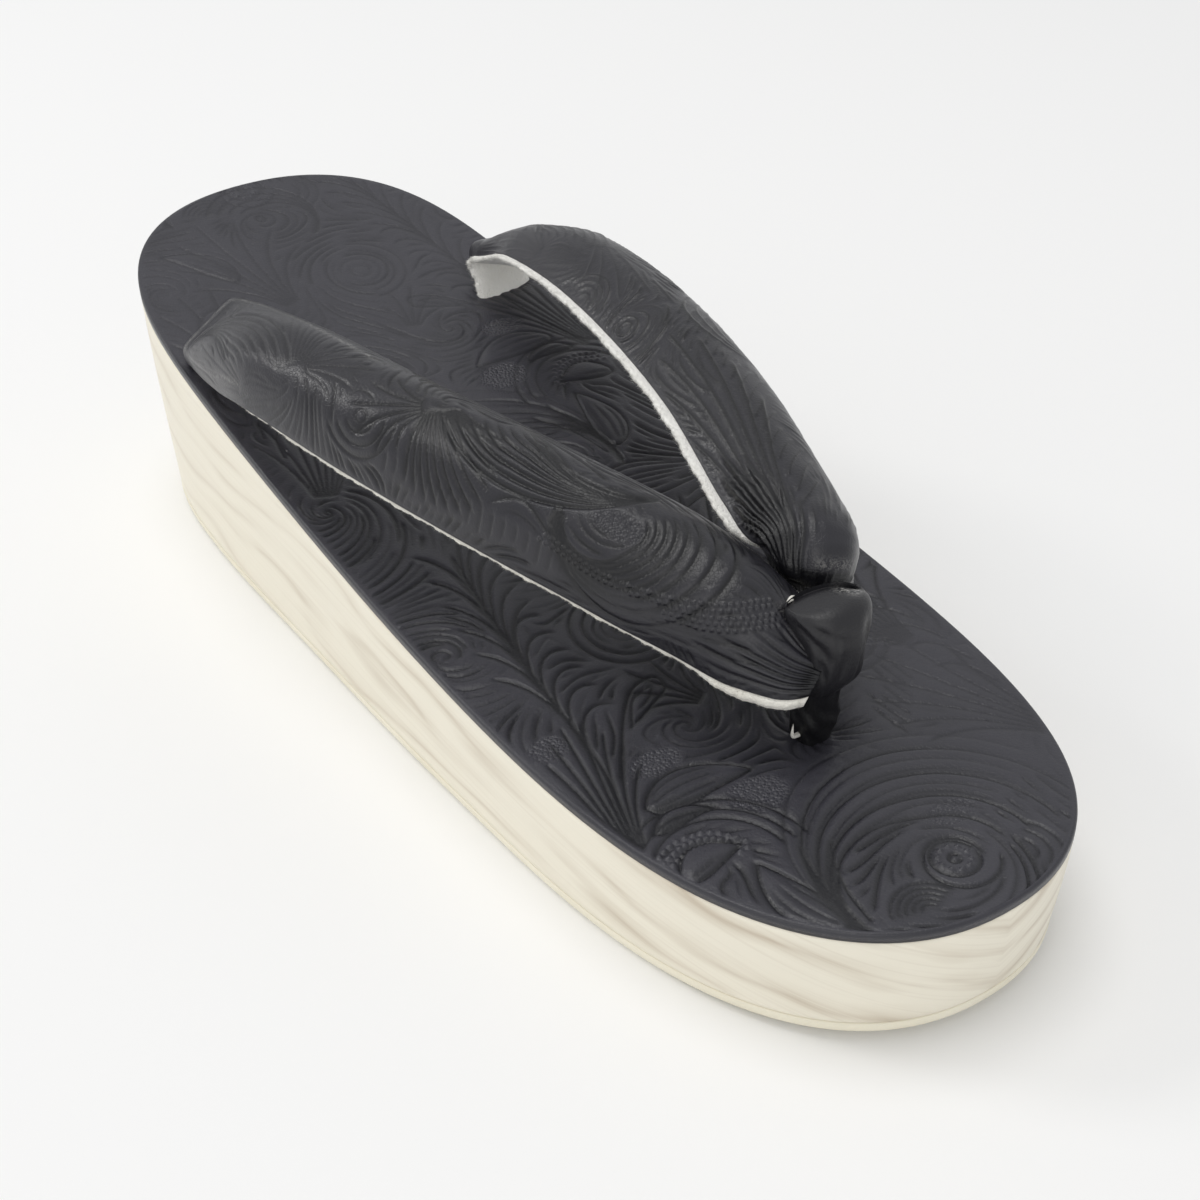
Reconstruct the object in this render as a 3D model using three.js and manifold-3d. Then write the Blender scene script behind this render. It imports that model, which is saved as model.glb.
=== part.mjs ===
// Zori sandal: wedge base with an embossed top cover, padded thong straps and a front loop.
// Millimetres, +Z up. The toe points to -Y, the heel to +Y, and the base stands on z = 0.
import * as THREE from 'three';
import { mergeVertices } from 'three/addons/utils/BufferGeometryUtils.js';
import Module from 'manifold-3d';

// Driving dimensions of the base
const LENGTH = 240;
const BALL_WIDTH = 83.2;
const HEEL_WIDTH = 80.6;
const TOE_FULLNESS = 4.1;
const HEEL_FULLNESS = 6.3;
const END_ROUNDNESS = 2.2;
const NARROWING_FROM = -0.2;
const NARROWING_TO = 0.7;
const TOE_HEIGHT = 24.3;
const HEEL_HEIGHT = 55.9;
const WEDGE_START = -0.8;
const WEDGE_POWER = 1.68;
const TOE_SPRING = 2.6;
const TOE_SPRING_START = -0.58;
const HEEL_LIFT = 1.0;
const HEEL_LIFT_START = 0.78;
const WALL_TAPER = 1.5;
const WALL_CURVE = 1.5;
const COVER_THICKNESS = 1.6;
const COVER_EDGE_ROUND = 0.5;
const OUTSOLE_THICKNESS = 2.6;
const OUTSOLE_EDGE_ROUND = 1.6;

// Driving dimensions of the straps and the front loop
const STRAP_FRONT_Y = -74;
const FRONT_LEAN = 2.8;
const STRAP_REAR_Y = 66;
const CROWN_POWER = 2.6;
const CROWN_BELOW_PATH = 0.35;
const FELT_SWELL = 0.07;

// Fits: neighbouring pieces stand this far apart
const GAP = 0.3;

// Mesh fineness
const SAME_POINT = 1e-4;
const ROUND_PARTS = [0, 0.3, 0.65, 1];
const WALL_PARTS = [0, 0.33, 0.67, 1];
const OUTLINE_STEPS = 56;
const STRAP_STEPS = 34;
const CROWN_STEPS = 10;
const FELT_STEPS = 4;
const LOOP_STEPS = 28;

// One row for each section of a strap, from its tucked front end to its tail in the side hole.
// x is half the spread of the pair, lift is the height of the section's middle above the cover.
const STRAP_SECTIONS = [
  { y: -77.0, x: 2.2, lift: 14.5, width: 8.0, tilt: 15, thick: 5.0 },
  { y: -74.0, x: 4.2, lift: 15.6, width: 14.0, tilt: 20, thick: 7.0 },
  { y: -68.5, x: 7.2, lift: 18.0, width: 19.4, tilt: 25, thick: 9.0 },
  { y: -60.0, x: 10.2, lift: 21.4, width: 22.0, tilt: 27, thick: 10.4 },
  { y: -48.0, x: 14.4, lift: 23.6, width: 23.6, tilt: 28, thick: 10.8 },
  { y: -24.0, x: 22.4, lift: 25.3, width: 23.8, tilt: 26, thick: 10.8 },
  { y: 6.0, x: 29.6, lift: 24.1, width: 23.4, tilt: 22, thick: 10.6 },
  { y: 34.0, x: 33.4, lift: 20.0, width: 22.2, tilt: 21, thick: 10.0 },
  { y: 50.0, x: 33.2, lift: 14.4, width: 20.6, tilt: 28, thick: 9.0 },
  { y: 58.0, x: 32.6, lift: 10.6, width: 19.2, tilt: 36, thick: 8.0 },
  { y: 63.5, x: 32.0, lift: 6.4, width: 17.4, tilt: 45, thick: 6.6 },
  { y: 66.5, x: 31.8, lift: 1.4, width: 14.5, tilt: 58, thick: 6.0 },
  { y: 67.8, x: 31.8, lift: -4.0, width: 12.0, tilt: 72, thick: 5.6 },
  { y: 68.4, x: 31.8, lift: -9.0, width: 11.0, tilt: 76, thick: 5.4 },
];

// One row for each level of the front loop, from the foot of its post to its crest.
// height is measured from the cover, x and y are the middle of the level.
const LOOP_LEVELS = [
  { height: -9.0, x: 1.4, y: -73.4, depth: 6.6, width: 6.6 },
  { height: 0.0, x: 1.4, y: -73.4, depth: 7.2, width: 7.4 },
  { height: 3.0, x: 1.4, y: -73.6, depth: 8.2, width: 9.0 },
  { height: 6.5, x: 1.4, y: -73.8, depth: 8.6, width: 9.0 },
  { height: 10.0, x: 1.6, y: -74.0, depth: 10.0, width: 9.0 },
  { height: 14.0, x: 2.0, y: -73.8, depth: 13.5, width: 9.6 },
  { height: 17.5, x: 2.4, y: -73.2, depth: 16.0, width: 10.4 },
  { height: 20.5, x: 2.7, y: -72.8, depth: 16.0, width: 11.8 },
  { height: 22.8, x: 2.9, y: -72.4, depth: 13.0, width: 12.8 },
  { height: 24.2, x: 3.0, y: -72.2, depth: 7.5, width: 9.6 },
];
const LOOP_ROUNDNESS = 2.8;

const wasm = await Module();
wasm.setup();

const clamp = THREE.MathUtils.clamp;
const lerp = THREE.MathUtils.lerp;
const smoothstep = THREE.MathUtils.smoothstep;
const degToRad = THREE.MathUtils.degToRad;
const signedPower = (value, power) => Math.sign(value) * Math.abs(value) ** power;

// The shape of the base along its length, with u = -1 at the toe and 1 at the heel
const along = (y) => clamp(y / (LENGTH / 2), -1, 1);
const past = (u, start) => Math.max(0, (u - start) / (Math.sign(start) - start));

function topHeight(y) {
  const rise = Math.max(0, (along(y) - WEDGE_START) / (1 - WEDGE_START));
  return TOE_HEIGHT + (HEEL_HEIGHT - TOE_HEIGHT) * rise ** WEDGE_POWER;
}

function floorHeight(y) {
  const u = along(y);
  return TOE_SPRING * past(u, TOE_SPRING_START) ** 2 + HEEL_LIFT * past(u, HEEL_LIFT_START) ** 2;
}

// A point of the base's outline at angle 0 (toe tip) to PI (heel tip), drawn in by inset
function outlinePoint(angle, inset) {
  const u = -Math.cos(angle);
  const fullness = u < 0 ? TOE_FULLNESS : HEEL_FULLNESS;
  const width = lerp(BALL_WIDTH, HEEL_WIDTH, smoothstep(u, NARROWING_FROM, NARROWING_TO));
  const share = Math.max(0, 1 - Math.abs(u) ** fullness) ** (1 / END_ROUNDNESS);
  return { x: (width / 2 - inset) * share, y: u * (LENGTH / 2 - inset) };
}

// Turns a list of closed rings with equal counts into one closed geometry
function loft(rings) {
  const count = rings[0].length;
  const points = rings.flat();
  const faces = [];
  for (let r = 0; r + 1 < rings.length; r++) {
    for (let k = 0; k < count; k++) {
      const a = r * count + k;
      const b = r * count + ((k + 1) % count);
      faces.push([a, b, b + count], [a, b + count, a + count]);
    }
  }
  for (const end of [0, rings.length - 1]) {
    const middle = new THREE.Vector3();
    rings[end].forEach((point) => middle.addScaledVector(point, 1 / count));
    const hub = points.push(middle) - 1;
    for (let k = 0; k < count; k++) {
      const a = end * count + k;
      const b = end * count + ((k + 1) % count);
      faces.push(end === 0 ? [b, a, hub] : [a, b, hub]);
    }
  }
  return closedGeometry(points, faces);
}

// Merges shared corners, drops faces without area and turns every face outwards
function closedGeometry(points, faces) {
  const raw = new THREE.BufferGeometry().setFromPoints(points);
  raw.setIndex(faces.flat());
  const merged = mergeVertices(raw, SAME_POINT);
  const corner = (i) => new THREE.Vector3().fromBufferAttribute(merged.attributes.position, i);
  const kept = [];
  let volume = 0;
  for (let i = 0; i < merged.index.count; i += 3) {
    const [a, b, c] = [0, 1, 2].map((k) => merged.index.getX(i + k));
    if (a === b || b === c || c === a) continue;
    kept.push([a, b, c]);
    volume += corner(a).dot(corner(b).cross(corner(c)));
  }
  merged.setIndex(kept.map((face) => (volume < 0 ? [face[0], face[2], face[1]] : face)).flat());
  return merged;
}

function toSolid(geometry) {
  const vertProperties = new Float32Array(geometry.attributes.position.array);
  const triVerts = new Uint32Array(geometry.index.array);
  return new wasm.Manifold(new wasm.Mesh({ numProp: 3, vertProperties, triVerts }));
}

function toGeometry(solid) {
  const mesh = solid.getMesh();
  const geometry = new THREE.BufferGeometry();
  geometry.setAttribute('position', new THREE.BufferAttribute(new Float32Array(mesh.vertProperties), 3));
  geometry.setIndex(Array.from(mesh.triVerts));
  geometry.computeVertexNormals();
  return geometry;
}

// A slab of the base: each level has its inset from the outline and its height over a point of the length
function slab(levels) {
  const rings = [];
  for (let step = 0; step <= OUTLINE_STEPS; step++) {
    const angle = (Math.PI * step) / OUTLINE_STEPS;
    const side = levels.map((level) => {
      const { x, y } = outlinePoint(angle, level.inset);
      return new THREE.Vector3(x, y, level.height(y));
    });
    const mirrored = side.map((p) => new THREE.Vector3(-p.x, p.y, p.z)).reverse();
    rings.push([...side, ...mirrored]);
  }
  return toSolid(loft(rings));
}

const outsoleTop = (y) => floorHeight(y) + OUTSOLE_THICKNESS;
const coreBottom = (y) => outsoleTop(y) + GAP;
const coreTop = (y) => topHeight(y) - COVER_THICKNESS - GAP;
const coverBottom = (y) => topHeight(y) - COVER_THICKNESS;
const wallInset = (fraction) => WALL_TAPER * (1 - fraction) ** WALL_CURVE;

// A quarter-round edge: part 0 to 1 runs from the flat face to the wall
const roundInset = (radius, part) => radius * (1 - Math.sin((part * Math.PI) / 2));
const roundHeight = (radius, part) => radius * (1 - Math.cos((part * Math.PI) / 2));

function outsoleSlab() {
  const edge = ROUND_PARTS.map((part) => ({
    inset: WALL_TAPER + roundInset(OUTSOLE_EDGE_ROUND, part),
    height: (y) => floorHeight(y) + roundHeight(OUTSOLE_EDGE_ROUND, part),
  }));
  return slab([...edge, { inset: WALL_TAPER, height: outsoleTop }]);
}

function coreSlab() {
  const wall = WALL_PARTS.map((part) => ({
    inset: wallInset(part),
    height: (y) => lerp(coreBottom(y), coreTop(y), part),
  }));
  return slab(wall);
}

function coverSlab() {
  const edge = ROUND_PARTS.map((part) => ({
    inset: roundInset(COVER_EDGE_ROUND, part),
    height: (y) => topHeight(y) - roundHeight(COVER_EDGE_ROUND, part),
  }));
  return slab([{ inset: 0, height: coverBottom }, ...edge.reverse()]);
}

// The joined front ends have settled a little to one side
function frontLean(y) {
  return FRONT_LEAN * clamp((STRAP_REAR_Y - y) / (STRAP_REAR_Y - STRAP_FRONT_Y), 0, 1);
}

// A strap's section: a domed leather side over a nearly flat felt side, grown all round by grow
function strapSectionPoints(width, thick, grow) {
  const half = width / 2 + grow;
  const rim = -CROWN_BELOW_PATH * thick - grow;
  const points = [];
  for (let k = 0; k <= CROWN_STEPS; k++) {
    const across = Math.cos((Math.PI * k) / CROWN_STEPS);
    const dome = 1 - Math.abs(across) ** CROWN_POWER;
    points.push([half * across, rim + (thick + 2 * grow) * dome]);
  }
  for (let k = 1; k < FELT_STEPS; k++) {
    const across = -1 + (2 * k) / FELT_STEPS;
    const swell = FELT_SWELL * thick * (1 - across ** 2);
    points.push([half * across, rim - swell]);
  }
  return points;
}

// One strap, swept through its table of sections; side is 1 or -1
function strapGeometry(side, grow) {
  const place = (row) => new THREE.Vector3(row.x, row.y, topHeight(row.y) + row.lift);
  const shape = (row) => new THREE.Vector3(row.width, row.tilt, row.thick);
  const path = new THREE.CatmullRomCurve3(STRAP_SECTIONS.map(place));
  const shapes = new THREE.CatmullRomCurve3(STRAP_SECTIONS.map(shape));
  const rings = [];
  for (let step = 0; step <= STRAP_STEPS; step++) {
    const t = step / STRAP_STEPS;
    const [width, tilt, thick] = shapes.getPoint(t).toArray();
    const forward = path.getTangent(t);
    const inward = new THREE.Vector3(-forward.y, forward.x, 0).normalize();
    const upward = forward.clone().cross(inward);
    const turn = degToRad(tilt);
    const across = inward.clone().multiplyScalar(Math.cos(turn)).addScaledVector(upward, Math.sin(turn));
    const outward = forward.clone().cross(across);
    const middle = path.getPoint(t);
    if (step === 0) middle.addScaledVector(forward, -grow);
    if (step === STRAP_STEPS) middle.addScaledVector(forward, grow);
    const ring = strapSectionPoints(width, thick, grow).map(([u, v]) => {
      const point = middle.clone().addScaledVector(across, u).addScaledVector(outward, v);
      point.x = side * point.x + frontLean(point.y);
      return point;
    });
    rings.push(ring);
  }
  return loft(rings);
}

function strapPair(grow) {
  return toSolid(strapGeometry(1, grow)).add(toSolid(strapGeometry(-1, grow)));
}

// The front loop before the straps are cut out of it: rounded levels from post to crest
function loopBlank(grow) {
  const lowest = LOOP_LEVELS[0];
  const rings = LOOP_LEVELS.map((level) => {
    const z = topHeight(level.y) + level.height + (level === lowest ? -grow : 0);
    const ring = [];
    for (let k = 0; k < LOOP_STEPS; k++) {
      const angle = (2 * Math.PI * k) / LOOP_STEPS;
      const x = (level.width / 2 + grow) * signedPower(Math.cos(angle), 2 / LOOP_ROUNDNESS);
      const y = (level.depth / 2 + grow) * signedPower(Math.sin(angle), 2 / LOOP_ROUNDNESS);
      ring.push(new THREE.Vector3(level.x + x, level.y + y, z));
    }
    return ring;
  });
  return toSolid(loft(rings));
}

const straps = strapPair(0);
const strapsRoom = strapPair(GAP);
const loop = loopBlank(0).subtract(strapsRoom);
const holes = strapsRoom.add(loopBlank(GAP));

const group = new THREE.Group();

function addPart(name, solid, color, roughness) {
  const material = new THREE.MeshStandardMaterial({ color, roughness, metalness: 0 });
  const mesh = new THREE.Mesh(toGeometry(solid), material);
  mesh.name = name;
  group.add(mesh);
}

addPart('outsole', outsoleSlab(), 0xece4c6, 0.6);
addPart('sole_core', coreSlab().subtract(holes), 0xe2dac6, 0.45);
addPart('top_cover', coverSlab().subtract(holes), 0x2c2b2f, 0.5);
addPart('strap_upper', straps, 0x29282c, 0.48);
addPart('toe_loop', loop, 0x242327, 0.45);

export default group;
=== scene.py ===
"""Looks of the zori sandal: embossed leather cover and straps, felt linings, wood-grain wrap, pale outsole.

Sizes are millimetres in the part's own frame: the toe points to -Y, the heel to +Y, +Z is up.
"""
import math
import bpy
import numpy as np
from mathutils import Matrix, Vector


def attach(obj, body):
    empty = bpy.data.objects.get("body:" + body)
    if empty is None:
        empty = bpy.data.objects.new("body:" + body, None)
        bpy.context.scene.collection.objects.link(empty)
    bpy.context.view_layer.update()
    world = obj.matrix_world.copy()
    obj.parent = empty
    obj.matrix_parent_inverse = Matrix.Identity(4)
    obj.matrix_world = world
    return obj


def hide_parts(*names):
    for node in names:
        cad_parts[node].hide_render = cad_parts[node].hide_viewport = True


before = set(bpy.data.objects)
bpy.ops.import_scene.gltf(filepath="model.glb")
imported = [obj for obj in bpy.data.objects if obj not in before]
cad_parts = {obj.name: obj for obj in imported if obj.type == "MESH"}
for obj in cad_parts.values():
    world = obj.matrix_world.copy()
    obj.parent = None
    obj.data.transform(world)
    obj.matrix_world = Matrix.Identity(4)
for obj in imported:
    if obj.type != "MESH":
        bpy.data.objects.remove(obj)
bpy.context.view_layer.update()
MM = 0.001

# The base, as in the part's source, with a slightly rounder edge on the cover
LENGTH = 240.0
BALL_WIDTH = 83.2
HEEL_WIDTH = 80.6
TOE_FULLNESS = 4.1
HEEL_FULLNESS = 6.3
END_ROUNDNESS = 2.2
NARROWING = (-0.2, 0.7)
TOE_HEIGHT = 24.3
HEEL_HEIGHT = 55.9
WEDGE_START = -0.8
WEDGE_POWER = 1.68
TOE_SPRING = (2.6, -0.58)
HEEL_LIFT = (1.0, 0.78)
WALL_TAPER = 1.5
WALL_CURVE = 1.5
COVER_THICKNESS = 1.6
COVER_EDGE_ROUND = 0.55
OUTSOLE_THICKNESS = 2.6
OUTSOLE_EDGE_ROUND = 1.6

# The sheet round the base: how far it is drawn in at its lower and upper edge, its gap to the pieces below
# and above it, and the waves of the base's wall as size, length and phase
WRAP_PULLS = (0.12, 0.25)
WRAP_CLEAR = 0.05
WALL_WAVES = ((0.05, 9.1, 0.6), (0.07, 23.0, 0.0))

# Dips of the cover: at the post its depth and reach, at a tail its depth, its reach across and along, and how
# far behind the tail it lies. Then the width over which the relief fades at the edge, and the edge's shade.
POST_DIP = (0.9, 6.5)
TAIL_DIP = (0.7, 8, 5, 2)
COVER_EDGE_FADE = 1.2
COVER_EDGE_SHADE = 0.8

# The straps: one row for each section from the front end to the rear fold. The middle rows are those of the
# part's source, and the other rows give the ends their soft form.
STRAP_FRONT_Y = -74.0
STRAP_REAR_Y = 66.0
FRONT_LEAN = 2.8
CROWN_BELOW_PATH = 0.35
FELT_SWELL = 0.07
STRAP_COLUMNS = ("y", "x", "lift", "width", "tilt", "thick", "crown", "lean")
NEAR_FRONT = (
    (-77.0, 2.9, 14.3, 10.4, 16, 4.6, 2.6, 0),
    (-74.0, 4.8, 15.4, 15.4, 20, 6.6, 2.6, 0),
    (-68.5, 7.2, 18.0, 19.6, 25, 9.0, 2.6, 0),
    (-60.0, 10.2, 21.4, 22.0, 27, 10.4, 2.6, 6),
)
FAR_FRONT = (
    (-77.0, 2.0, 14.0, 6.0, 10, 3.0, 2.6, 0),
    (-73.5, 2.8, 14.4, 8.5, 8, 3.0, 2.6, 0),
    (-70.4, 3.6, 14.8, 10.4, 8, 3.0, 2.6, 0),
    (-66.6, 6.2, 15.6, 12.4, 12, 4.0, 2.6, 0),
    (-63.4, 8.2, 19.2, 14.0, 15, 7.0, 2.6, 24),
    (-61.8, 9.2, 21.8, 16.2, 18, 10.0, 2.6, 36),
    (-60.0, 10.2, 22.8, 19.0, 22, 10.6, 2.6, 28),
    (-55.0, 12.2, 22.8, 22.2, 26, 10.6, 2.6, 6),
)
STRAP_MIDDLE = (
    (-48.0, 14.4, 23.6, 23.6, 28, 10.8, 2.6, 0),
    (-24.0, 22.4, 25.3, 23.8, 26, 10.8, 2.6, 0),
    (6.0, 29.6, 24.1, 23.4, 22, 10.6, 2.6, 0),
    (34.0, 33.4, 20.0, 22.2, 21, 10.0, 2.6, 0),
)
NEAR_REAR = (
    (48.0, 33.2, 14.8, 20.9, 27, 9.0, 3.0, 0),
    (57.5, 32.6, 10.8, 19.4, 30, 6.8, 4.5, 0),
    (66.4, 31.6, 6.6, 17.4, 32, 3.8, 9.0, 0),
)
FAR_REAR = (
    (48.0, 34.0, 14.8, 20.0, 26, 8.6, 3.0, 0),
    (57.0, 34.0, 10.9, 16.6, 18, 6.2, 4.5, 0),
    (64.4, 33.4, 7.3, 13.4, 8, 3.8, 7.0, 0),
)
FOLD_INSIDE = 1.4
FOLD_TURN = {"near": 90, "far": 102}
FOLD_SQUARE = 4.0
TAIL_LENGTH = 13.0
TAIL_NARROWS = 0.25

# The front loop, close to that of the part's source: one row for each level from the post's foot to the top
LOOP_COLUMNS = ("height", "x", "y", "depth", "width")
LOOP_LEVELS = (
    (-9.0, 1.8, -73.6, 5.6, 5.6),
    (0.0, 1.8, -73.6, 6.0, 6.2),
    (3.0, 2.0, -73.9, 7.0, 7.0),
    (6.5, 2.0, -74.0, 6.8, 6.6),
    (9.4, 1.9, -74.0, 7.4, 7.0),
    (11.4, 1.9, -73.9, 10.6, 8.6),
    (14.0, 2.0, -73.8, 14.0, 9.8),
    (17.5, 2.4, -73.2, 16.0, 10.4),
    (21.5, 2.9, -72.8, 16.0, 12.0),
    (23.9, 3.3, -72.8, 13.6, 13.8),
    (24.9, 3.5, -72.8, 10.0, 13.6),
    (24.9, 3.5, -72.4, 6.4, 13.2),
    (24.5, 3.5, -71.9, 2.4, 12.8),
    (24.2, 3.5, -71.7, 0.4, 12.6),
)
LOOP_ROUNDNESS = 2.8
LOOP_ROWS = 110
LOOP_POINTS = 160
PLEAT_DEPTH = 0.14
KNOT_DEPTH = 0.2

# The loop's rear lip: its place, how its ends turn, the heights where it forms, and its arch and droop
LIP_Y = -71.6
LIP_TURN = -0.2
LIP_RISE = (12.0, 16.0)
LIP_ARCH = 1.2
LIP_DROOP = 0.7

# Scuffs on the loop: x, y, height over the cover and reach
LOOP_SCUFFS = (
    (6.3, -74.2, 25.2, 1.3),
    (6.6, -75.4, 25.0, 1.1),
    (8.4, -74.8, 24.6, 1.0),
)

# Creases of the loop's band: angle about it in degrees and height at the two ends, depth and width
LOOP_GIRTH = 7.0
LOOP_CREASES = (
    (186, 23.6, 232, 18.5, 0.40, 0.8),
    (200, 24.6, 262, 20.5, 0.28, 0.9),
    (222, 17.5, 240, 12.0, 0.30, 0.8),
    (262, 19.0, 258, 12.5, 0.22, 0.8),
    (298, 21.5, 316, 14.0, 0.22, 0.9),
)

# Embossing, in millimetres or shares: the raster's cell, grooves, strokes, filling strokes and depths
RASTER_STEP = 0.16
GROOVE_WIDTH = 0.3
GROOVE_ROUND = 0.08
GROOVE_REACH = 1.6
BEVEL_STEEP = 0.6
BEVEL_GENTLE = 1.9
CREASE_WIDTH = 0.6
STROKE_STEP = 0.25
CURL_STEP = 0.6
ARC_POINTS = 48
LEAF_POINTS = 26
PUFF_EDGE = 0.9
STIPPLE_DEPTH = 0.12
FILL_CLOSER = 0.62
FILL_FADE = (2.0, 5.0)
FILL_WIDTHS = (0.75, 1.4)
FILL_DEPTHS = (0.4, 1.0)
TRACE_CELLS = 2
COVER_DEPTH = 0.5
STRAP_DEPTH = 0.45
STRAP_PATCH = ((-3, -1), (184, 36))

# Mesh fineness, millimetres between points before the flat places are thinned out to a limit of triangles
COVER_STEP = 0.27
COVER_COLUMNS = 307
COVER_TRIANGLES = 192000
EDGE_STEP = 1.2
STRAP_STEP = 0.23
CROWN_COLUMNS = 148
STRAP_TRIANGLES = 165000
UNDER_COLUMNS = 12
WALL_STEP = 0.75
WALL_ROWS = 22

# Felt under the straps: its half thickness, how much shows under the leather's edge, and how far each edge
# stands past the leather: over the strap's length, at its front end, and in its last stretch
FELT_SHOWS = 0.85
FELT_HALF = 0.9
FELT_COLUMNS = 48
FELT_SQUARE = (0.35, 0.8)
FELT_RAISE = 0.1
FELT_FRONT_EXTRA = 1.3
FELT_FRONT = {"near": (5.0, 19.0), "far": (21.0, 29.0)}
FELT_LAST = (95.0, 130.0)
FELT_LEDGES = {
    "near_outer": (0.1, 1.0, -0.5),
    "near_inner": (-0.7, 0.9, -0.7),
    "far_outer": (0.1, -1.4, 0.1),
    "far_inner": (1.6, -1.4, 1.1),
}
FELT_WANDER = {"near": 0.6, "far": 1.2}
FIBRE_COUNT = 11000
FIBRE_LENGTH = {"near": (0.12, 0.5), "far": (0.2, 0.85)}
FIBRE_ROOT = 0.025
FIBRE_SUNK = 0.15
FIBRE_SPREAD = 0.75

# The camera of the photograph, turned to the middle of the one sandal
CAMERA_AT = (-154.2, -240.5, 209.7)
CAMERA_AIM = (-0.6, -18.2, 20.3)
CAMERA_UP = (0.3464, 0.4579, 0.8188)
CAMERA_LENS = 54.25
CAMERA_SENSOR = 36.0

# The studio, in metres: half the floor's side, the sky, each light's name, place, size, power and colour
FLOOR_HALF = 6.0
SKY_COLOUR = (0.985, 0.992, 1.0, 1)
SKY_STRENGTH = 0.62
LIGHTS = (
    ("key", (-0.9, 1.1, 1.0), 0.5, 4.6, (1.0, 0.99, 0.97)),
    ("overhead", (-0.1, 0.25, 1.6), 0.9, 6.0, (1.0, 0.99, 0.97)),
    ("fill", (-1.0, -0.9, 0.9), 1.4, 4.6, (1.0, 0.985, 0.96)),
)


def smooth(value):
    """A soft step from 0 to 1"""
    value = np.clip(value, 0, 1)
    return value * value * (3 - 2 * value)


def unit(vectors):
    return vectors / np.linalg.norm(vectors, axis=-1, keepdims=True)


# The shape of the base, with u = -1 at the toe and 1 at the heel


def along(y):
    return np.clip(np.asarray(y, float) / (LENGTH / 2), -1, 1)


def past(u, start):
    return np.maximum(0, (u - start) / (math.copysign(1, start) - start))


def top_height(y):
    rise = np.maximum(0, (along(y) - WEDGE_START) / (1 - WEDGE_START))
    return TOE_HEIGHT + (HEEL_HEIGHT - TOE_HEIGHT) * rise**WEDGE_POWER


def floor_height(y):
    u = along(y)
    return sum(rise * past(u, start) ** 2 for rise, start in (TOE_SPRING, HEEL_LIFT))


def outline(angle, inset):
    """Half outline of the base at angle 0, the toe tip, to pi, the heel tip, drawn in by inset"""
    u = -np.cos(angle)
    fullness = np.where(u < 0, TOE_FULLNESS, HEEL_FULLNESS)
    narrow = smooth((u - NARROWING[0]) / (NARROWING[1] - NARROWING[0]))
    width = BALL_WIDTH + (HEEL_WIDTH - BALL_WIDTH) * narrow
    share = np.maximum(0, 1 - np.abs(u) ** fullness) ** (1 / END_ROUNDNESS)
    return (width / 2 - inset) * share, u * (LENGTH / 2 - inset)


def spaced_angles(row_step, edge_step):
    """Angles of outline points at most row_step apart along y and edge_step along the outline, and their
    distance from the toe"""
    angle = np.linspace(0, math.pi, 20001)
    x, y = outline(angle, 0)
    step = np.hypot(np.diff(x), np.diff(y))
    count = np.append(0, np.cumsum(np.maximum(np.diff(y) / row_step, step / edge_step)))
    chosen = np.interp(np.linspace(0, count[-1], int(count[-1]) + 1), count, angle)
    return chosen, np.interp(chosen, angle, np.append(0, np.cumsum(step)))


def quarter_round(radius, steps):
    """Inset and drop of places along a rounded edge, from its flat side on"""
    angles = np.linspace(0, 1, steps) * math.pi / 2
    return [(radius * (1 - math.sin(angle)), radius * (1 - math.cos(angle))) for angle in angles]


# Meshes from arrays


def make_piece(name, points, quads, material, slot, nodes, values=None):
    """A smooth mesh from points in millimetres and quads; coinciding points with equal values are joined"""
    values = values or {}
    keys = np.round(np.column_stack([points] + [v.reshape(len(points), -1) for v in values.values()]), 4)
    _, first, joined = np.unique(keys, axis=0, return_index=True, return_inverse=True)
    corners = joined.reshape(-1)[quads]
    repeats = corners == np.roll(corners, -1, axis=1)
    full = corners[~repeats.any(axis=1)]
    thin = repeats.sum(axis=1) == 1
    triangles = corners[thin][~repeats[thin]].reshape(-1, 3)
    loops = np.concatenate([full.reshape(-1), triangles.reshape(-1)])
    sizes = np.concatenate([np.full(len(full), 4), np.full(len(triangles), 3)])
    mesh = bpy.data.meshes.new(name)
    mesh.vertices.add(len(first))
    mesh.vertices.foreach_set("co", (points[first] * MM).astype(np.float32).reshape(-1))
    mesh.loops.add(len(loops))
    mesh.loops.foreach_set("vertex_index", loops.astype(np.int32))
    mesh.polygons.add(len(sizes))
    mesh.polygons.foreach_set("loop_start", (np.cumsum(sizes) - sizes).astype(np.int32))
    mesh.polygons.foreach_set("use_smooth", np.ones(len(sizes), bool))
    for key, value in values.items():
        kind, part = ("FLOAT", "value") if value.ndim == 1 else ("FLOAT_VECTOR", "vector")
        layer = mesh.attributes.new(key, kind, "POINT")
        layer.data.foreach_set(part, value[first].astype(np.float32).reshape(-1))
    mesh.update()
    mesh.validate()
    mesh.materials.append(material)
    piece = bpy.data.objects.new(name, mesh)
    bpy.context.scene.collection.objects.link(piece)
    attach(piece, "root")
    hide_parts(*nodes)
    return piece


def thin_out(piece, limit):
    """Joins triangles where the surface is flat until no more than limit are left"""
    piece.data.calc_loop_triangles()
    shrink = piece.modifiers.new("shrink", "DECIMATE")
    shrink.ratio = limit / len(piece.data.loop_triangles)
    shrink.use_collapse_triangulate = True
    thin = bpy.data.meshes.new_from_object(piece.evaluated_get(bpy.context.evaluated_depsgraph_get()))
    piece.modifiers.clear()
    piece.data = thin


def ring_quads(rows, columns, closed=True):
    """Quads between neighbouring rings of points, numbered row by row"""
    count = columns if closed else columns - 1
    row, column = np.meshgrid(np.arange(rows - 1), np.arange(count), indexing="ij")
    after = (column + 1) % columns
    quads = np.stack([row * columns + column, row * columns + after,
                      (row + 1) * columns + after, (row + 1) * columns + column], -1)
    return quads.reshape(-1, 4)


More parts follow.
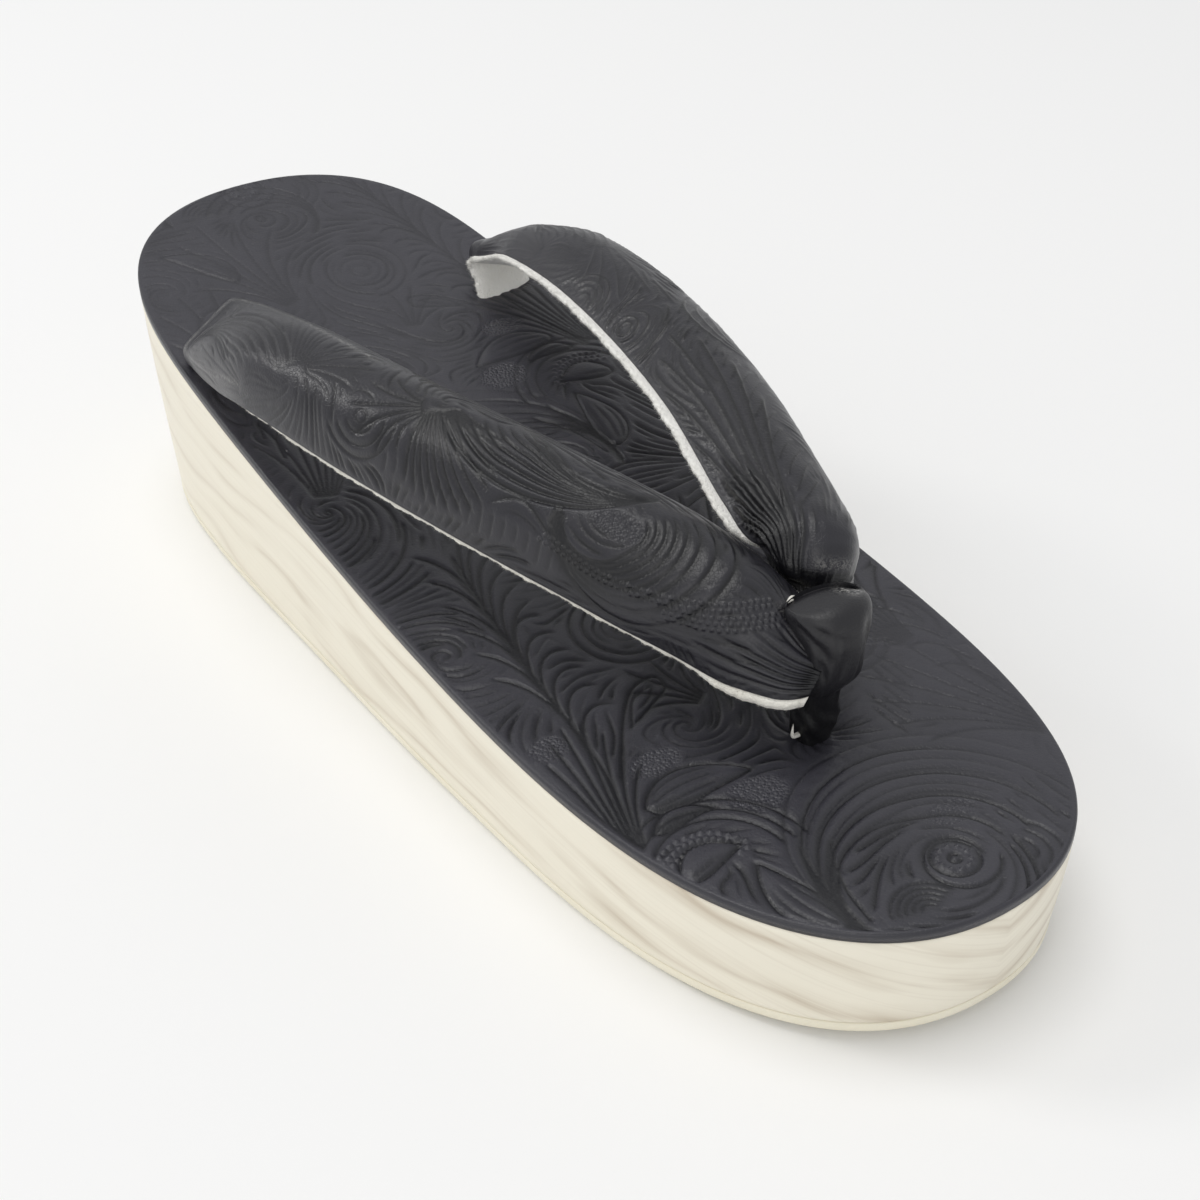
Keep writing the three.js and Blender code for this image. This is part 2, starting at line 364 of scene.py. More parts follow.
def cap_quads(rows, columns):
    """Quads across the first and the last ring, which fold their points in pairs"""
    half = columns // 2
    k = np.arange(half - 1)
    first = np.stack([k, k + 1, columns - 2 - k, columns - 1 - k], -1)[:, ::-1]
    last = first[:, ::-1] + (rows - 1) * columns
    return np.concatenate([first, last])


def turned_out(points, quads):
    """The quads with their order turned so that the faces look outwards"""
    a, b, c, d = (points[quads[:, k]] for k in range(4))
    volume = np.einsum("ij,ij->", a, np.cross(b, c)) + np.einsum("ij,ij->", a, np.cross(c, d))
    return quads if volume > 0 else quads[:, ::-1]


def tube(points):
    """Rings of points as one list, with the quads of the tube's wall and of its two ends"""
    rows, columns = points.shape[:2]
    flat = points.reshape(-1, 3)
    quads = np.concatenate([ring_quads(rows, columns), cap_quads(rows, columns)])
    return flat, turned_out(flat - flat.mean(axis=0), quads)


# Lines


def catmull(points, share):
    """The centripetal curve through rows of numbers, at shares of the row count"""
    points = np.asarray(points, float)
    ends = np.vstack([2 * points[0] - points[1], points, 2 * points[-1] - points[-2]])
    place = np.clip(share, 0, 1) * (len(points) - 1)
    i = np.minimum(place.astype(int), len(points) - 2)
    w = (place - i)[:, None]
    p = [ends[i + k] for k in range(4)]
    d0, d1, d2 = (np.sqrt(np.linalg.norm(p[k + 1] - p[k], axis=1))[:, None] for k in range(3))
    a = d1 * ((p[1] - p[0]) / d0 - (p[2] - p[0]) / (d0 + d1) + (p[2] - p[1]) / d1)
    b = d1 * ((p[2] - p[1]) / d1 - (p[3] - p[1]) / (d1 + d2) + (p[3] - p[2]) / d2)
    return p[1] + w * (a + w * (3 * (p[2] - p[1]) - 2 * a - b + w * (2 * (p[1] - p[2]) + a + b)))


def smooth_line(*points):
    """A soft line through a few points"""
    return catmull(points, np.linspace(0, 1, 14 * len(points)))


def distances(line):
    """How far along a line each of its points lies"""
    return np.append(0, np.cumsum(np.linalg.norm(np.diff(line, axis=0), axis=1)))


def on_line(line, at):
    """Points of a flat line at distances along it"""
    return np.column_stack([np.interp(at, distances(line), line[:, k]) for k in (0, 1)])


# Embossed leather


def curl(start, heading, length, turn, power=1.6):
    """A stroke from start along heading, in degrees, that turns by turn degrees, mostly near its tip"""
    share = np.linspace(0, 1, max(8, int(length / CURL_STEP)))
    angle = np.radians(heading + turn * share**power)
    step = length / (len(share) - 1)
    moves = step * np.column_stack([np.cos(angle), np.sin(angle)])[:-1]
    return np.vstack([[start], np.asarray(start) + np.cumsum(moves, axis=0)])


def arc(centre, radii, angles, squash=1.0):
    """A stroke about centre from the first radius and angle to the second, in degrees"""
    share = np.linspace(0, 1, ARC_POINTS)
    radius = radii[0] + (radii[1] - radii[0]) * smooth(share * 1.6)
    angle = np.radians(angles[0] + (angles[1] - angles[0]) * share)
    return np.asarray(centre) + np.column_stack([radius * np.cos(angle), squash * radius * np.sin(angle)])


def spread(points, fade):
    """A stroke's points at even steps, and its force there, which fades over some millimetres at each end"""
    length = distances(points)[-1]
    at = np.arange(0, length, STROKE_STEP)
    force = smooth(at / fade[0] + 0.3) * smooth((length - at) / fade[1] + 0.15)
    return on_line(points, at), force


class Leather:
    """A flat patch of leather with its tooled relief, on a raster in millimetres"""

    def __init__(self, low, high):
        self.low = np.asarray(low, float)
        self.shape = tuple(np.ceil((np.asarray(high) - self.low) / RASTER_STEP).astype(int) + 1)
        self.kept, self.ease = np.ones((2, *self.shape))
        self.raised, self.sunk, self.ground, self.worn_and_highlit = np.zeros((4, *self.shape))
        self.drawn = []
        self.swirls = []
        self.seat()

    def seat(self, shift=(0, 0), flip=(1, 1), strength=1.0):
        """Where the next motifs go: mirrored by flip, then moved by shift"""
        self.shift = np.asarray(shift, float)
        self.flip = np.asarray(flip, float)
        self.strength = strength

    def stamp(self, points, reach, profile):
        """The window of raster cells about points, and the most that profile(x, y) gives in each cell"""
        span = int(math.ceil(reach / RASTER_STEP))
        cell = np.round((points - self.low) / RASTER_STEP).astype(int)
        low = np.clip(cell.min(axis=0) - span, 0, self.shape)
        high = np.clip(cell.max(axis=0) + span + 1, low, self.shape)
        offset = np.arange(-span, span + 1)
        i, j = np.broadcast_arrays(cell[:, 0, None, None] + offset[None, :, None],
                                   cell[:, 1, None, None] + offset[None, None, :])
        value = profile(self.low[0] + i * RASTER_STEP - points[:, 0, None, None],
                        self.low[1] + j * RASTER_STEP - points[:, 1, None, None])
        inside = (i >= low[0]) & (j >= low[1]) & (i < high[0]) & (j < high[1])
        window = np.zeros(high - low)
        place = (i - low[0]) * window.shape[1] + j - low[1]
        np.maximum.at(window.reshape(-1), place[inside], value[inside])
        return (slice(low[0], high[0]), slice(low[1], high[1])), window

    def placed(self, points):
        return np.asarray(points, float) * self.flip + self.shift

    def cut(self, points, depth=1.0, fade=(0.8, 3.0), width=GROOVE_WIDTH):
        """A groove along a stroke, fading at its two ends over the given millimetres"""
        self.cut_flat(self.placed(points), depth * self.strength, fade, width)

    def cut_flat(self, points, depth, fade, width):
        """A groove that falls steeply on one side of its stroke and rises gently on the other"""
        points, force = spread(points, fade)
        heading = unit(np.gradient(points, axis=0))[:, :, None, None]
        strength = min(0.97, depth) * force[:, None, None]

        def profile(x, y):
            gentle = heading[:, 0] * y > heading[:, 1] * x
            slope = np.where(gentle, BEVEL_GENTLE, BEVEL_STEEP) * width
            return strength * np.exp(-(np.hypot(np.hypot(x, y), GROOVE_ROUND) - GROOVE_ROUND) / slope)

        where, groove = self.stamp(points, GROOVE_REACH, profile)
        self.kept[where] *= 1 - groove
        self.drawn.append(points)

    def beads(self, points, radius=0.5, height=0.4):
        """Round bumps at the points"""
        where, bumps = self.stamp(self.placed(points), radius,
                                  lambda x, y: np.maximum(0, 1 - (x * x + y * y) / radius**2))
        self.raised[where] = np.maximum(self.raised[where], self.strength * height * bumps)

    def soft_stroke(self, field, points, amount, width, reach, fade):
        """Brings a field up to an amount along a stroke, softly to both sides"""
        points, force = spread(self.placed(points), fade)
        where, share = self.stamp(points, reach * width,
                                  lambda x, y: force[:, None, None] * np.exp(-(x * x + y * y) / width**2))
        field[where] = np.maximum(field[where], amount * share)
        return points

    def crease(self, points, depth, width=CREASE_WIDTH, fade=(1.5, 7.0)):
        """A soft trough along a stroke, its depth in millimetres"""
        self.drawn.append(self.soft_stroke(self.sunk, points, depth, width, 2.5, fade))

    def rub_and_highlight(self, points, width, amount):
        """Leather made pale along a stroke, for wear and for painted highlight"""
        self.soft_stroke(self.worn_and_highlit, points, amount, width, 2.2, (2.0, 2.0))

    def axes(self):
        """Places of the raster's rows and columns"""
        x, y = (self.low[k] + RASTER_STEP * np.arange(self.shape[k]) for k in (0, 1))
        return x[:, None], y[None, :]

    def oval(self, centre, radii):
        """How far each raster cell lies from a centre, as a share of an oval's radii"""
        x, y = self.axes()
        middle = self.placed(centre)
        return np.hypot((x - middle[0]) / radii[0], (y - middle[1]) / radii[1])

    def stipple(self, centre, radii):
        """An oval of dotted ground"""
        self.ground = np.maximum(self.ground, smooth((1 - self.oval(centre, radii)) * 3))

    def calm(self, centre, radii, keep):
        """An oval pressed flatter, where its middle keeps only a share of the relief"""
        self.ease = np.minimum(self.ease, 1 - (1 - keep) * smooth(1.6 * (1 - self.oval(centre, radii))))

    def puff(self, ring, height):
        """Leather raised inside a closed ring of points, rounded towards its edge"""
        ring = self.placed(ring)
        low = np.floor((ring.min(axis=0) - self.low) / RASTER_STEP).astype(int)
        high = np.ceil((ring.max(axis=0) - self.low) / RASTER_STEP).astype(int) + 1
        low = np.maximum(low, 0)
        high = np.minimum(high, self.shape)
        if (high <= low).any():
            return
        cells = np.stack(np.meshgrid(*map(np.arange, low, high), indexing="ij"), -1)
        to = ring - (cells * RASTER_STEP + self.low)[:, :, None]
        nearest = np.linalg.norm(to, axis=-1).min(axis=-1)
        angle = np.arctan2(to[..., 1], to[..., 0])
        turns = np.angle(np.exp(1j * (np.roll(angle, -1, axis=-1) - angle))).sum(axis=-1)
        swell = np.where(np.abs(turns) > math.pi, 1 - np.exp(-nearest / PUFF_EDGE), 0)
        window = self.raised[low[0]:high[0], low[1]:high[1]]
        np.maximum(window, self.strength * height * swell, out=window)

    # Motifs of western tooled leather

    def plume(self, base, heading, length, strokes, spread, bend, lean=0.0, hook=1.6, depth=0.9):
        """Strokes that leave one base side by side, bend away from the middle one and hook at their tips"""
        angle = math.radians(heading)
        aside = np.array([-math.sin(angle), math.cos(angle)])
        for share in np.linspace(-1, 1, strokes):
            start = np.asarray(base) + 0.45 * strokes * share * aside * 0.5
            reach = length * (1 - 0.38 * abs(share) ** 1.5)
            self.cut(curl(start, heading + spread * share, reach, bend * share + lean, hook), depth)

    def lobes(self, stem, first, last, count, side, length, hook, depth=0.9):
        """Hooked strokes that peel off one side of a stem between two shares of its length"""
        for at in np.linspace(first, last, count) * distances(stem)[-1]:
            start, ahead = on_line(stem, (at, at + 1))
            heading = math.degrees(math.atan2(ahead[1] - start[1], ahead[0] - start[0]))
            self.cut(curl(start, heading + side * 14, length, side * hook, 2.4), depth)

    def sweep(self, centre, base_radius, radii, angles, depth=0.9, squash=1.0, width=GROOVE_WIDTH):
        """Strokes that leave one base and run on as rings about a centre"""
        for radius in radii:
            self.cut(arc(centre, (base_radius, radius), angles, squash), depth, width=width)

    def rings(self, centre, radii, angles, depth=0.85, squash=1.0):
        for radius in radii:
            self.cut(arc(centre, (radius, radius), angles, squash), depth, (0.8, 1.6))

    def leaf(self, base, tip, width, bend, veins, height=0.35):
        """A raised leaf with a cut outline and veins; bend bows its middle line to the left"""
        base, tip = np.asarray(base, float), np.asarray(tip, float)
        share = np.linspace(0, 1, LEAF_POINTS)
        normal = np.array([base[1] - tip[1], tip[0] - base[0]]) / np.linalg.norm(tip - base)
        spine = base + share[:, None] * (tip - base) + (bend * 4 * share * (1 - share))[:, None] * normal
        half = 0.5 * width * np.sin(math.pi * share**0.75) ** 0.8
        left, right = spine + half[:, None] * normal, spine - half[:, None] * normal
        self.puff(np.vstack([left, right[::-1]]), height)
        for edge in (left, right):
            self.cut(edge, 1.0, (0.5, 0.5))
        for share_across in np.linspace(-0.55, 0.55, veins):
            self.cut((spine + share_across * half[:, None] * normal)[2:20], 0.6, (1, 5), 0.35)

    def bead_rows(self, line, rows, gap, spread):
        """Rows of beads beside a line of points"""
        for row in range(rows):
            at = np.arange(0.5 * gap * (row % 2), distances(line)[-1], gap)
            spots = on_line(line, at)
            heading = unit(on_line(line, at + 0.5) - spots + 1e-9)
            normal = np.column_stack([-heading[:, 1], heading[:, 0]])
            self.beads(spots + normal * spread * row)

    def hatch(self, start, end, count, heading, length, turn, depth=0.8):
        """Short strokes side by side along a line"""
        for share in np.linspace(0, 1, count):
            root = np.asarray(start) + share * (np.asarray(end) - np.asarray(start))
            size = length * (0.8 + 0.2 * math.sin(7.0 * share * count))
            self.cut(curl(root, heading, size, turn), depth, (0.6, 2.0))

    def swirl(self, x, y, reach, twist):
        """A place that the filling strokes run about: twist 0 fans out from it, 90 or -90 circles it"""
        x, y = self.placed((x, y))
        self.swirls.append((x, y, reach, twist * self.flip[0] * self.flip[1]))

    def flow(self):
        """Unit directions of the filling strokes over the raster"""
        x, y = self.axes()
        total = np.zeros(self.shape, complex)
        for at_x, at_y, reach, twist in self.swirls:
            away = (x - at_x) + 1j * (y - at_y)
            size = np.abs(away) + 1e-6
            total += away / size * np.exp(1j * math.radians(twist)) / (1 + (size / reach) ** 2) ** 1.5
        return total / (np.abs(total) + 1e-9)

    def fill(self, gap, lengths, seed):
        """Tapered strokes along the flow, about gap apart, wherever the leather is still bare"""
        flow = self.flow()
        close = np.zeros(self.shape, bool)
        closer = np.zeros(self.shape, bool)

        def mark(points):
            for field, reach in ((close, gap), (closer, FILL_CLOSER * gap)):
                where, near = self.stamp(points[::2], reach, lambda x, y: np.hypot(x, y) < reach)
                field[where] |= near > 0

        for points in self.drawn:
            mark(points)
        busy = (self.ground > 0.4) | (self.raised > 0.12)
        close |= busy
        closer |= busy
        order = np.random.default_rng(seed)
        spots = np.stack(np.meshgrid(*(np.arange(3, count - 3, 4) for count in self.shape)), -1)
        spots = order.permutation(spots.reshape(-1, 2))
        for shortest, longest in lengths:
            for spot in spots:
                if close[tuple(spot)]:
                    continue
                line = self.trace(flow, closer, spot, longest)
                if len(line) * TRACE_CELLS * RASTER_STEP < shortest:
                    continue
                points = self.low + line * RASTER_STEP
                width = GROOVE_WIDTH * order.uniform(*FILL_WIDTHS)
                self.cut_flat(points, order.uniform(*FILL_DEPTHS), FILL_FADE, width)
                mark(points)

    def trace(self, flow, closer, spot, longest):
        """A line of raster places that follows the flow both ways from a spot until it meets another"""
        halves = []
        for way in (-1, 1):
            place = complex(*spot)
            heading = None
            half = []
            while len(half) * TRACE_CELLS * RASTER_STEP < 0.5 * longest:
                cell = (int(round(place.real)), int(round(place.imag)))
                if not (0 <= cell[0] < self.shape[0] and 0 <= cell[1] < self.shape[1]) or closer[cell]:
                    break
                half.append((place.real, place.imag))
                turn = way * flow[cell]
                if heading is not None and (turn * heading.conjugate()).real < 0.5:
                    break
                heading = turn
                place += TRACE_CELLS * heading
            halves.append(half)
        return np.array(halves[0][:0:-1] + halves[1]).reshape(-1, 2)

    def sample(self, field, x, y):
        """Bilinear look-up of one field at points"""
        u = np.clip((x - self.low[0]) / RASTER_STEP, 0, self.shape[0] - 1.001)
        v = np.clip((y - self.low[1]) / RASTER_STEP, 0, self.shape[1] - 1.001)
        i, j = u.astype(int), v.astype(int)
        fu, fv = u - i, v - j
        near = field[i, j] * (1 - fv) + field[i, j + 1] * fv
        far = field[i + 1, j] * (1 - fv) + field[i + 1, j + 1] * fv
        return near * (1 - fu) + far * fu


# Places that the filling strokes run about: x, y, reach, twist
COVER_SWIRLS = (
    (-0.5, -108.5, 16, -90),
    (-38, -84, 26, -8),
    (-29, -90, 8, -90),
    (-8, -36, 9, 90),
    (36, -100, 22, 62),
    (1.4, -73.4, 7, 0),
    (20, -58, 9, 90),
    (2, -10, 11, -80),
    (-38, -26, 12, 70),
    (32, -26, 14, -70),
    (-14, -62, 8, 60),
    (26, -80, 10, -75),
)

# Ovals of dotted ground on the cover: x, y and their two radii
COVER_STIPPLES = (
    (-15, -80.5, 6, 4.5),
    (-24, -66, 5.5, 3.2),
    (6, -101, 5, 3),
    (-36, -54, 4, 3),
    (14, -50, 5, 4),
)


def tool_cover_front(leather):
    """The design on the front of the cover, in the cover's own x and y"""
    rosette = (-0.5, -108.5)
    leather.sweep(rosette, 20.5, (9.4, 14.0, 19.2, 25.0), (196, -12), 0.85)
    leather.sweep(rosette, 20.5, (12.2, 15.0, 16.8, 20.3, 22.6, 28.2), (196, 20), 0.5)
    leather.sweep(rosette, 6.8, (4.4,), (330, -40))
    leather.rings(rosette, (3.9, 1.0), (0, 360), 0.9)
    leather.beads([(rosette[0] + 2.5 * math.cos(a), rosette[1] + 2.5 * math.sin(a))
                   for a in np.linspace(0, 2 * math.pi, 11)[:-1]])
    leather.rings((-11, -114.5), (1.6, 2.7, 3.8, 4.9, 6.0), (15, 165), 0.75)
    leather.rings((8, -113), (3.0, 5.0, 7.0), (-70, 40), 0.7)
    leather.leaf((-22.5, -110), (-24.5, -92), 7.0, 1.5, 3)
    leather.cut(smooth_line((-20.5, -111), (-20, -104), (-18.5, -97), (-17, -92)))
    leather.cut(smooth_line((-19, -111), (-17.6, -104), (-15, -98), (-12, -94)))
    leather.leaf((-35.5, -89), (-24, -87.5), 5.6, 1.6, 1, 0.5)
    leather.bead_rows(smooth_line((-37, -83), (-31, -81.6), (-26, -83), (-22.5, -88)), 3, 1.4, -1.3)
    leather.rings((-29, -90), (10.5, 12.6, 14.8), (158, -6), 0.85)
    leather.leaf((-31, -73.5), (-12, -75.5), 7.0, 2.0, 3, 0.4)
    leather.leaf((-33, -78.5), (-22, -79), 3.4, 1.6, 1)
    leather.plume((-37.4, -79), 76, 30, 8, 10, 26, -4)
    stem = smooth_line((-36.6, -79), (-31, -62), (-28.4, -42), (-26, -22), (-23, -4))
    leather.cut(stem)
    leather.lobes(stem, 0.30, 0.62, 6, -1, 14, 150)
    leather.lobes(stem, 0.60, 0.92, 6, -1, 17, 70)
    leather.lobes(stem, 0.42, 0.86, 6, 1, 15, 60)
    hook = [(-30, -66), (-21, -54), (-15.5, -49.4), (-11.6, -49.2), (-11.4, -52), (-15, -54), (-22, -57)]
    leather.cut(smooth_line(*hook))
    inner_hook = [(-22, -57.5), (-17.5, -51.8), (-13.6, -50.9), (-14.6, -52.3), (-19, -54.6)]
    leather.cut(smooth_line(*inner_hook), 0.8)
    leather.rings((-8, -36), (9.5, 7.2), (100, 280))
    leather.plume((-8, -58), 118, 15, 5, 22, 50)
    for x, y, half_x, half_y in COVER_STIPPLES:
        leather.stipple((x, y), (half_x, half_y))
    leather.hatch((14, -83), (24, -74), 7, 96, 10, -12)
    leather.plume((34, -96), 112, 34, 8, 20, 42, 10)
    leather.plume((30, -66), 98, 40, 8, 16, 48, -8)
    leather.lobes(smooth_line((34, -92), (36, -70), (33, -46), (30, -30)), 0.15, 0.8, 7, 1, 13, 120)
    leather.rings((20, -58), (3, 5.2, 7.4, 9.6), (150, 330), 0.8)
    leather.plume((10, -40), 78, 34, 7, 18, 60, 6)
    leather.sweep((2, -10), 13, (4, 6.4, 8.8, 11.2), (230, 20))
    leather.leaf((16, -28), (27, -14), 6, 2, 3)
    leather.bead_rows(smooth_line((14, -68), (22, -63), (28, -65)), 2, 1.4, 1.3)
    for swirl in COVER_SWIRLS:
        leather.swirl(*swirl)


def tool_cover():
    """The cover's leather, its front design three times from the toe to the heel"""
    leather = Leather((-43, -121), (43, 121))
    for shift, flip, strength in ((0, 1, 1.0), (117, -1, 0.85), (226, 1, 0.8)):
        leather.seat((0, shift), (flip, 1), strength)
        tool_cover_front(leather)
    leather.fill(1.4, ((9, 26), (4.5, 14), (2.2, 8)), 11)
    leather.seat()
    leather.calm((32, -84), (26, 44), 0.4)
    leather.calm((0, 110), (90, 120), 0.45)
    return leather


STRAP_SWIRLS = (
    (38.5, 18.5, 10, 90),
    (77, 23, 14, 48),
    (60, 27, 8, 80),
    (2, 16, 9, 0),
    (88, 12, 8, -80),
    (24, 3, 7, 20),
)


def tool_strap_unit(leather):
    """One repeat of the design along a strap, in distance along it and across it"""
    disc = (37, 16.6)
    leather.stipple(disc, (5.4, 2.8))
    leather.sweep(disc, 9.6, (4.4, 5.8, 7.2, 8.7, 10.3, 12.2, 14.6, 17.6), (344, 126), 0.95, width=0.4)
    for radius in (4.0, 6.4, 8.8, 11.2, 13.6, 16.2, 18.8, 21.6):
        swag = arc((57, 28), (21, radius), (188, 330), 0.68)
        leather.cut(swag, 0.9)
        leather.crease(swag, 0.3 * leather.strength, 0.45, (4.0, 8.0))
    bead_line = smooth_line((13, 21), (17, 15), (22, 11.6), (30, 9.0), (38, 8.2), (48, 9.6))
    leather.bead_rows(bead_line, 2, 1.15, -1.05)
    leather.bead_rows(smooth_line((11, 19), (14, 14.5), (19, 10.8), (25, 8.6)), 3, 1.15, -1.05)
    leather.plume((76, 20.5), 224, 21, 13, 30, 16, -6)
    leather.hatch((43, 8.4), (80, 8.6), 17, -94, 5.6, 18, 0.45)
    leather.cut(smooth_line((10, 10), (18, 6.6), (28, 4.6), (40, 4.8)), 0.6)
    leather.cut(smooth_line((8, 7.6), (16, 4.6), (27, 2.6)), 0.6)
    leather.plume((79, 19), -38, 15, 6, 34, 60)
    leather.rings((88, 12), (3.2, 5.4, 7.6), (170, 330))
    leather.plume((64, 30), 196, 22, 5, 16, 30)
    for swirl in STRAP_SWIRLS:
        leather.swirl(*swirl)


# Gathers where the loop draws the straps' front ends together: places along and across, then the depth
NEAR_GATHERS = (
    ((0.5, 3.4), (8, 3.2), (15, 2.8), 0.35),
    ((0.5, 5.4), (10, 5.6), (19, 5.4), 0.45),
    ((0.5, 7.2), (9, 7.8), (14, 8.2), 0.5),
    ((0.5, 9.0), (10, 9.4), (17, 9.0), 0.45),
    ((0.5, 10.8), (7, 11.4), (12, 12.2), 0.4),
    ((0.5, 12.8), (8, 13.4), (13, 14.6), 0.4),
    ((2.0, 15.4), (7, 16.6), (11, 18.4), 0.35),
    ((4.5, 18.6), (8, 20.4), (13, 22.6), 0.4),
    ((5.0, 21.6), (8, 23.4), (12, 26.0), 0.4),
)
FAR_GATHERS = (
    ((18.6, 27.8), (20.5, 30.6), (23.5, 33.2), 0.9),
    ((18.6, 27.4), (22, 30.8), (28, 33.2), 1.0),
    ((18.6, 27.0), (24, 30.4), (33.5, 33.0), 1.0),
    ((18.6, 26.6), (25, 29.4), (39, 32.2), 1.0),
    ((18.6, 26.2), (26, 28.0), (43, 30.2), 0.9),
    ((18.6, 25.8), (26, 26.4), (40, 27.4), 0.8),
    ((18.6, 25.4), (24.5, 24.8), (34, 24.2), 0.8),
    ((18.6, 25.0), (23, 23.4), (29, 21.8), 0.6),
    ((21.6, 22.5), (22.0, 16.0), (21.8, 9.0), 0.2),
    ((23.4, 20.0), (23.0, 14.0), (23.2, 7.0), 0.14),
)


# Pale lines on the straps, partly wear and partly painted highlight: worn edges at the near strap's fold and
# sides, painted lighter where they catch the light, and a painted glint near the loop; a painted highlight
# along the far strap's nose. Places along and across, then the width and how pale they are
NEAR_WEAR_AND_HIGHLIGHTS = (
    ((153.4, 3.5), (153.6, 17.0), (153.4, 28.5), 0.8, 0.40),
    ((96.0, 24.5), (122.0, 25.6), (153.0, 27.8), 0.8, 0.40),
    ((120.0, 4.6), (136.0, 4.2), (153.0, 4.4), 0.7, 0.25),
    ((3.0, 19.0), (6.5, 20.5), (11.0, 22.0), 1.6, 0.25),
)
FAR_PAINTED_HIGHLIGHTS = (
    ((20.9, 21.5), (21.0, 16.0), (20.9, 10.0), 0.35, 0.30),
)


def gather(leather, rows):
    for *line, depth in rows:
        leather.crease(smooth_line(*line), depth)


def rub_and_highlight(leather, rows):
    for *line, width, amount in rows:
        leather.rub_and_highlight(smooth_line(*line), width, amount)


def tool_near_strap():
    leather = Leather(*STRAP_PATCH)
    gather(leather, NEAR_GATHERS)
    tool_strap_unit(leather)
    leather.seat(shift=(184, 34), flip=(-1, -1), strength=0.75)
    tool_strap_unit(leather)
    leather.fill(1.3, ((8, 22), (4, 12), (2.0, 7)), 12)
    leather.seat()
    leather.calm((24, 4.5), (18, 4.5), 0.4)
    leather.calm((136, 17), (58, 80), 0.4)
    rub_and_highlight(leather, NEAR_WEAR_AND_HIGHLIGHTS)
    return leather


def tool_far_strap():
    leather = Leather(*STRAP_PATCH)
    gather(leather, FAR_GATHERS)
    leather.plume((20, 28), -4, 58, 7, 7, 12, 4)
    leather.rings((30, 34), (2.4, 3.8, 5.2, 6.6, 8.0), (185, 350))
    leather.rings((86, 31), (1.6, 3.0), (0, 360))
    leather.rings((102, 33), (1.8, 3.4, 5.0, 6.6), (175, 350))
    leather.hatch((26, 22), (82, 21), 16, -36, 11, -18, 0.6)
    leather.seat(shift=(20, 0), strength=0.8)
    leather.sweep((60, 8), 15, (4, 6.5, 9, 11.5), (200, 20))
    leather.plume((96, 18), 170, 26, 7, 24, 40)
    leather.seat(shift=(188, 0), flip=(-1, 1), strength=0.75)
    tool_strap_unit(leather)
    leather.seat()
    for swirl in ((8, 26, 18, 0), (30, 34, 5, 90), (86, 31, 5, 90), (60, 10, 9, -80)):
        leather.swirl(*swirl)
    leather.fill(1.1, ((8, 24), (4, 12), (2.0, 7)), 13)
    leather.calm((60, 6), (64, 15), 0.3)
    leather.calm((140, 17), (62, 60), 0.35)
    rub_and_highlight(leather, FAR_PAINTED_HIGHLIGHTS)
    return leather


def emboss(leather, x, y, depth):
    """Height in millimetres, the share of colour that the painted shade of grooves and creases leaves, and
    stipple share at points of a leather
    """
    fields = (leather.ease, leather.kept, leather.raised, leather.sunk, leather.ground)
    ease, kept, raised, sunk, ground = (leather.sample(field, x, y) for field in fields)
    kept = 1 - ease * (1 - kept)
    ground = ground * smooth((kept - 0.5) * 3)
    height = depth * (kept - 0.75) + ease * raised - STIPPLE_DEPTH * ground - sunk
    # Creases darken the colour as well: painted shade
    return height, kept * (1 - 0.7 * smooth(sunk / 0.6)), ground


# Materials


class Finish:
    """A node material around one Principled shader"""

    def __init__(self, name, colour, roughness, **sockets):
        self.material = bpy.data.materials.new(name)
        self.material.use_nodes = True
        self.nodes = self.material.node_tree.nodes
        self.shader = self.nodes["Principled BSDF"]
        self.place = self.add("TexCoord").outputs["Object"]
        self.set("Base Color", (*colour, 1))
        self.set("Roughness", roughness)
        for key, value in sockets.items():
            self.set(key.replace("_", " "), value)

    def add(self, kind, settings=None, **inputs):
        node = self.nodes.new("ShaderNode" + kind)
        for key, value in (settings or {}).items():
            setattr(node, key, value)
        for key, value in inputs.items():
            self.feed(node.inputs[key.replace("_", " ")], value)
        return node

    def feed(self, socket, value):
        if isinstance(value, bpy.types.NodeSocket):
            self.material.node_tree.links.new(value, socket)
        else:
            socket.default_value = value

    def set(self, name, value):
        self.feed(self.shader.inputs[name], value)

    def math(self, operation, *values):
        node = self.add("Math", {"operation": operation})
        for socket, value in zip(node.inputs, values):
            self.feed(socket, value)
        return node.outputs[0]

    def blend(self, share, *values):
        """From the first of two values to the second as share goes from 0 to 1"""
        return self.math("ADD", self.math("MULTIPLY", share, values[1] - values[0]), values[0])

    def noise(self, scale, detail=2.0, vector=None, distortion=0.0):
        inputs = {"Scale": scale, "Detail": detail, "Distortion": distortion}
        return self.add("TexNoise", Vector=vector or self.place, **inputs).outputs["Fac"]

    def cells(self, feature, scale):
        """Distances in a pattern of small cells"""
        node = self.add("TexVoronoi", {"feature": feature}, Vector=self.place, Scale=scale)
        return node.outputs["Distance"]

    def scaled(self, vector, x, y):
        """A flat place scaled along and across"""
        return self.add("Mapping", Vector=vector, Scale=(x, y, 1.0)).outputs[0]

    def value(self, name):
        return self.add("Attribute", {"attribute_name": name}).outputs["Fac"]

    def ramp(self, factor, *stops):
        """Colours or greys at places between 0 and 1"""
        node = self.add("ValToRGB", Fac=factor)
        while len(node.color_ramp.elements) < len(stops):
            node.color_ramp.elements.new(0.5)
        for element, (place, colour) in zip(node.color_ramp.elements, stops):
            element.position = place
            element.color = (*colour, 1) if isinstance(colour, tuple) else (colour, colour, colour, 1)
        return node.outputs["Color"]

    def bump(self, *layers):
        """Bumps one over the other, each with its height and its size in millimetres"""
        normal = None
        for height, size in layers:
            node = self.add("Bump", Height=height, Distance=size * MM, Strength=1.0)
            if normal:
                self.feed(node.inputs["Normal"], normal)
            normal = node.outputs[0]
        self.set("Normal", normal)
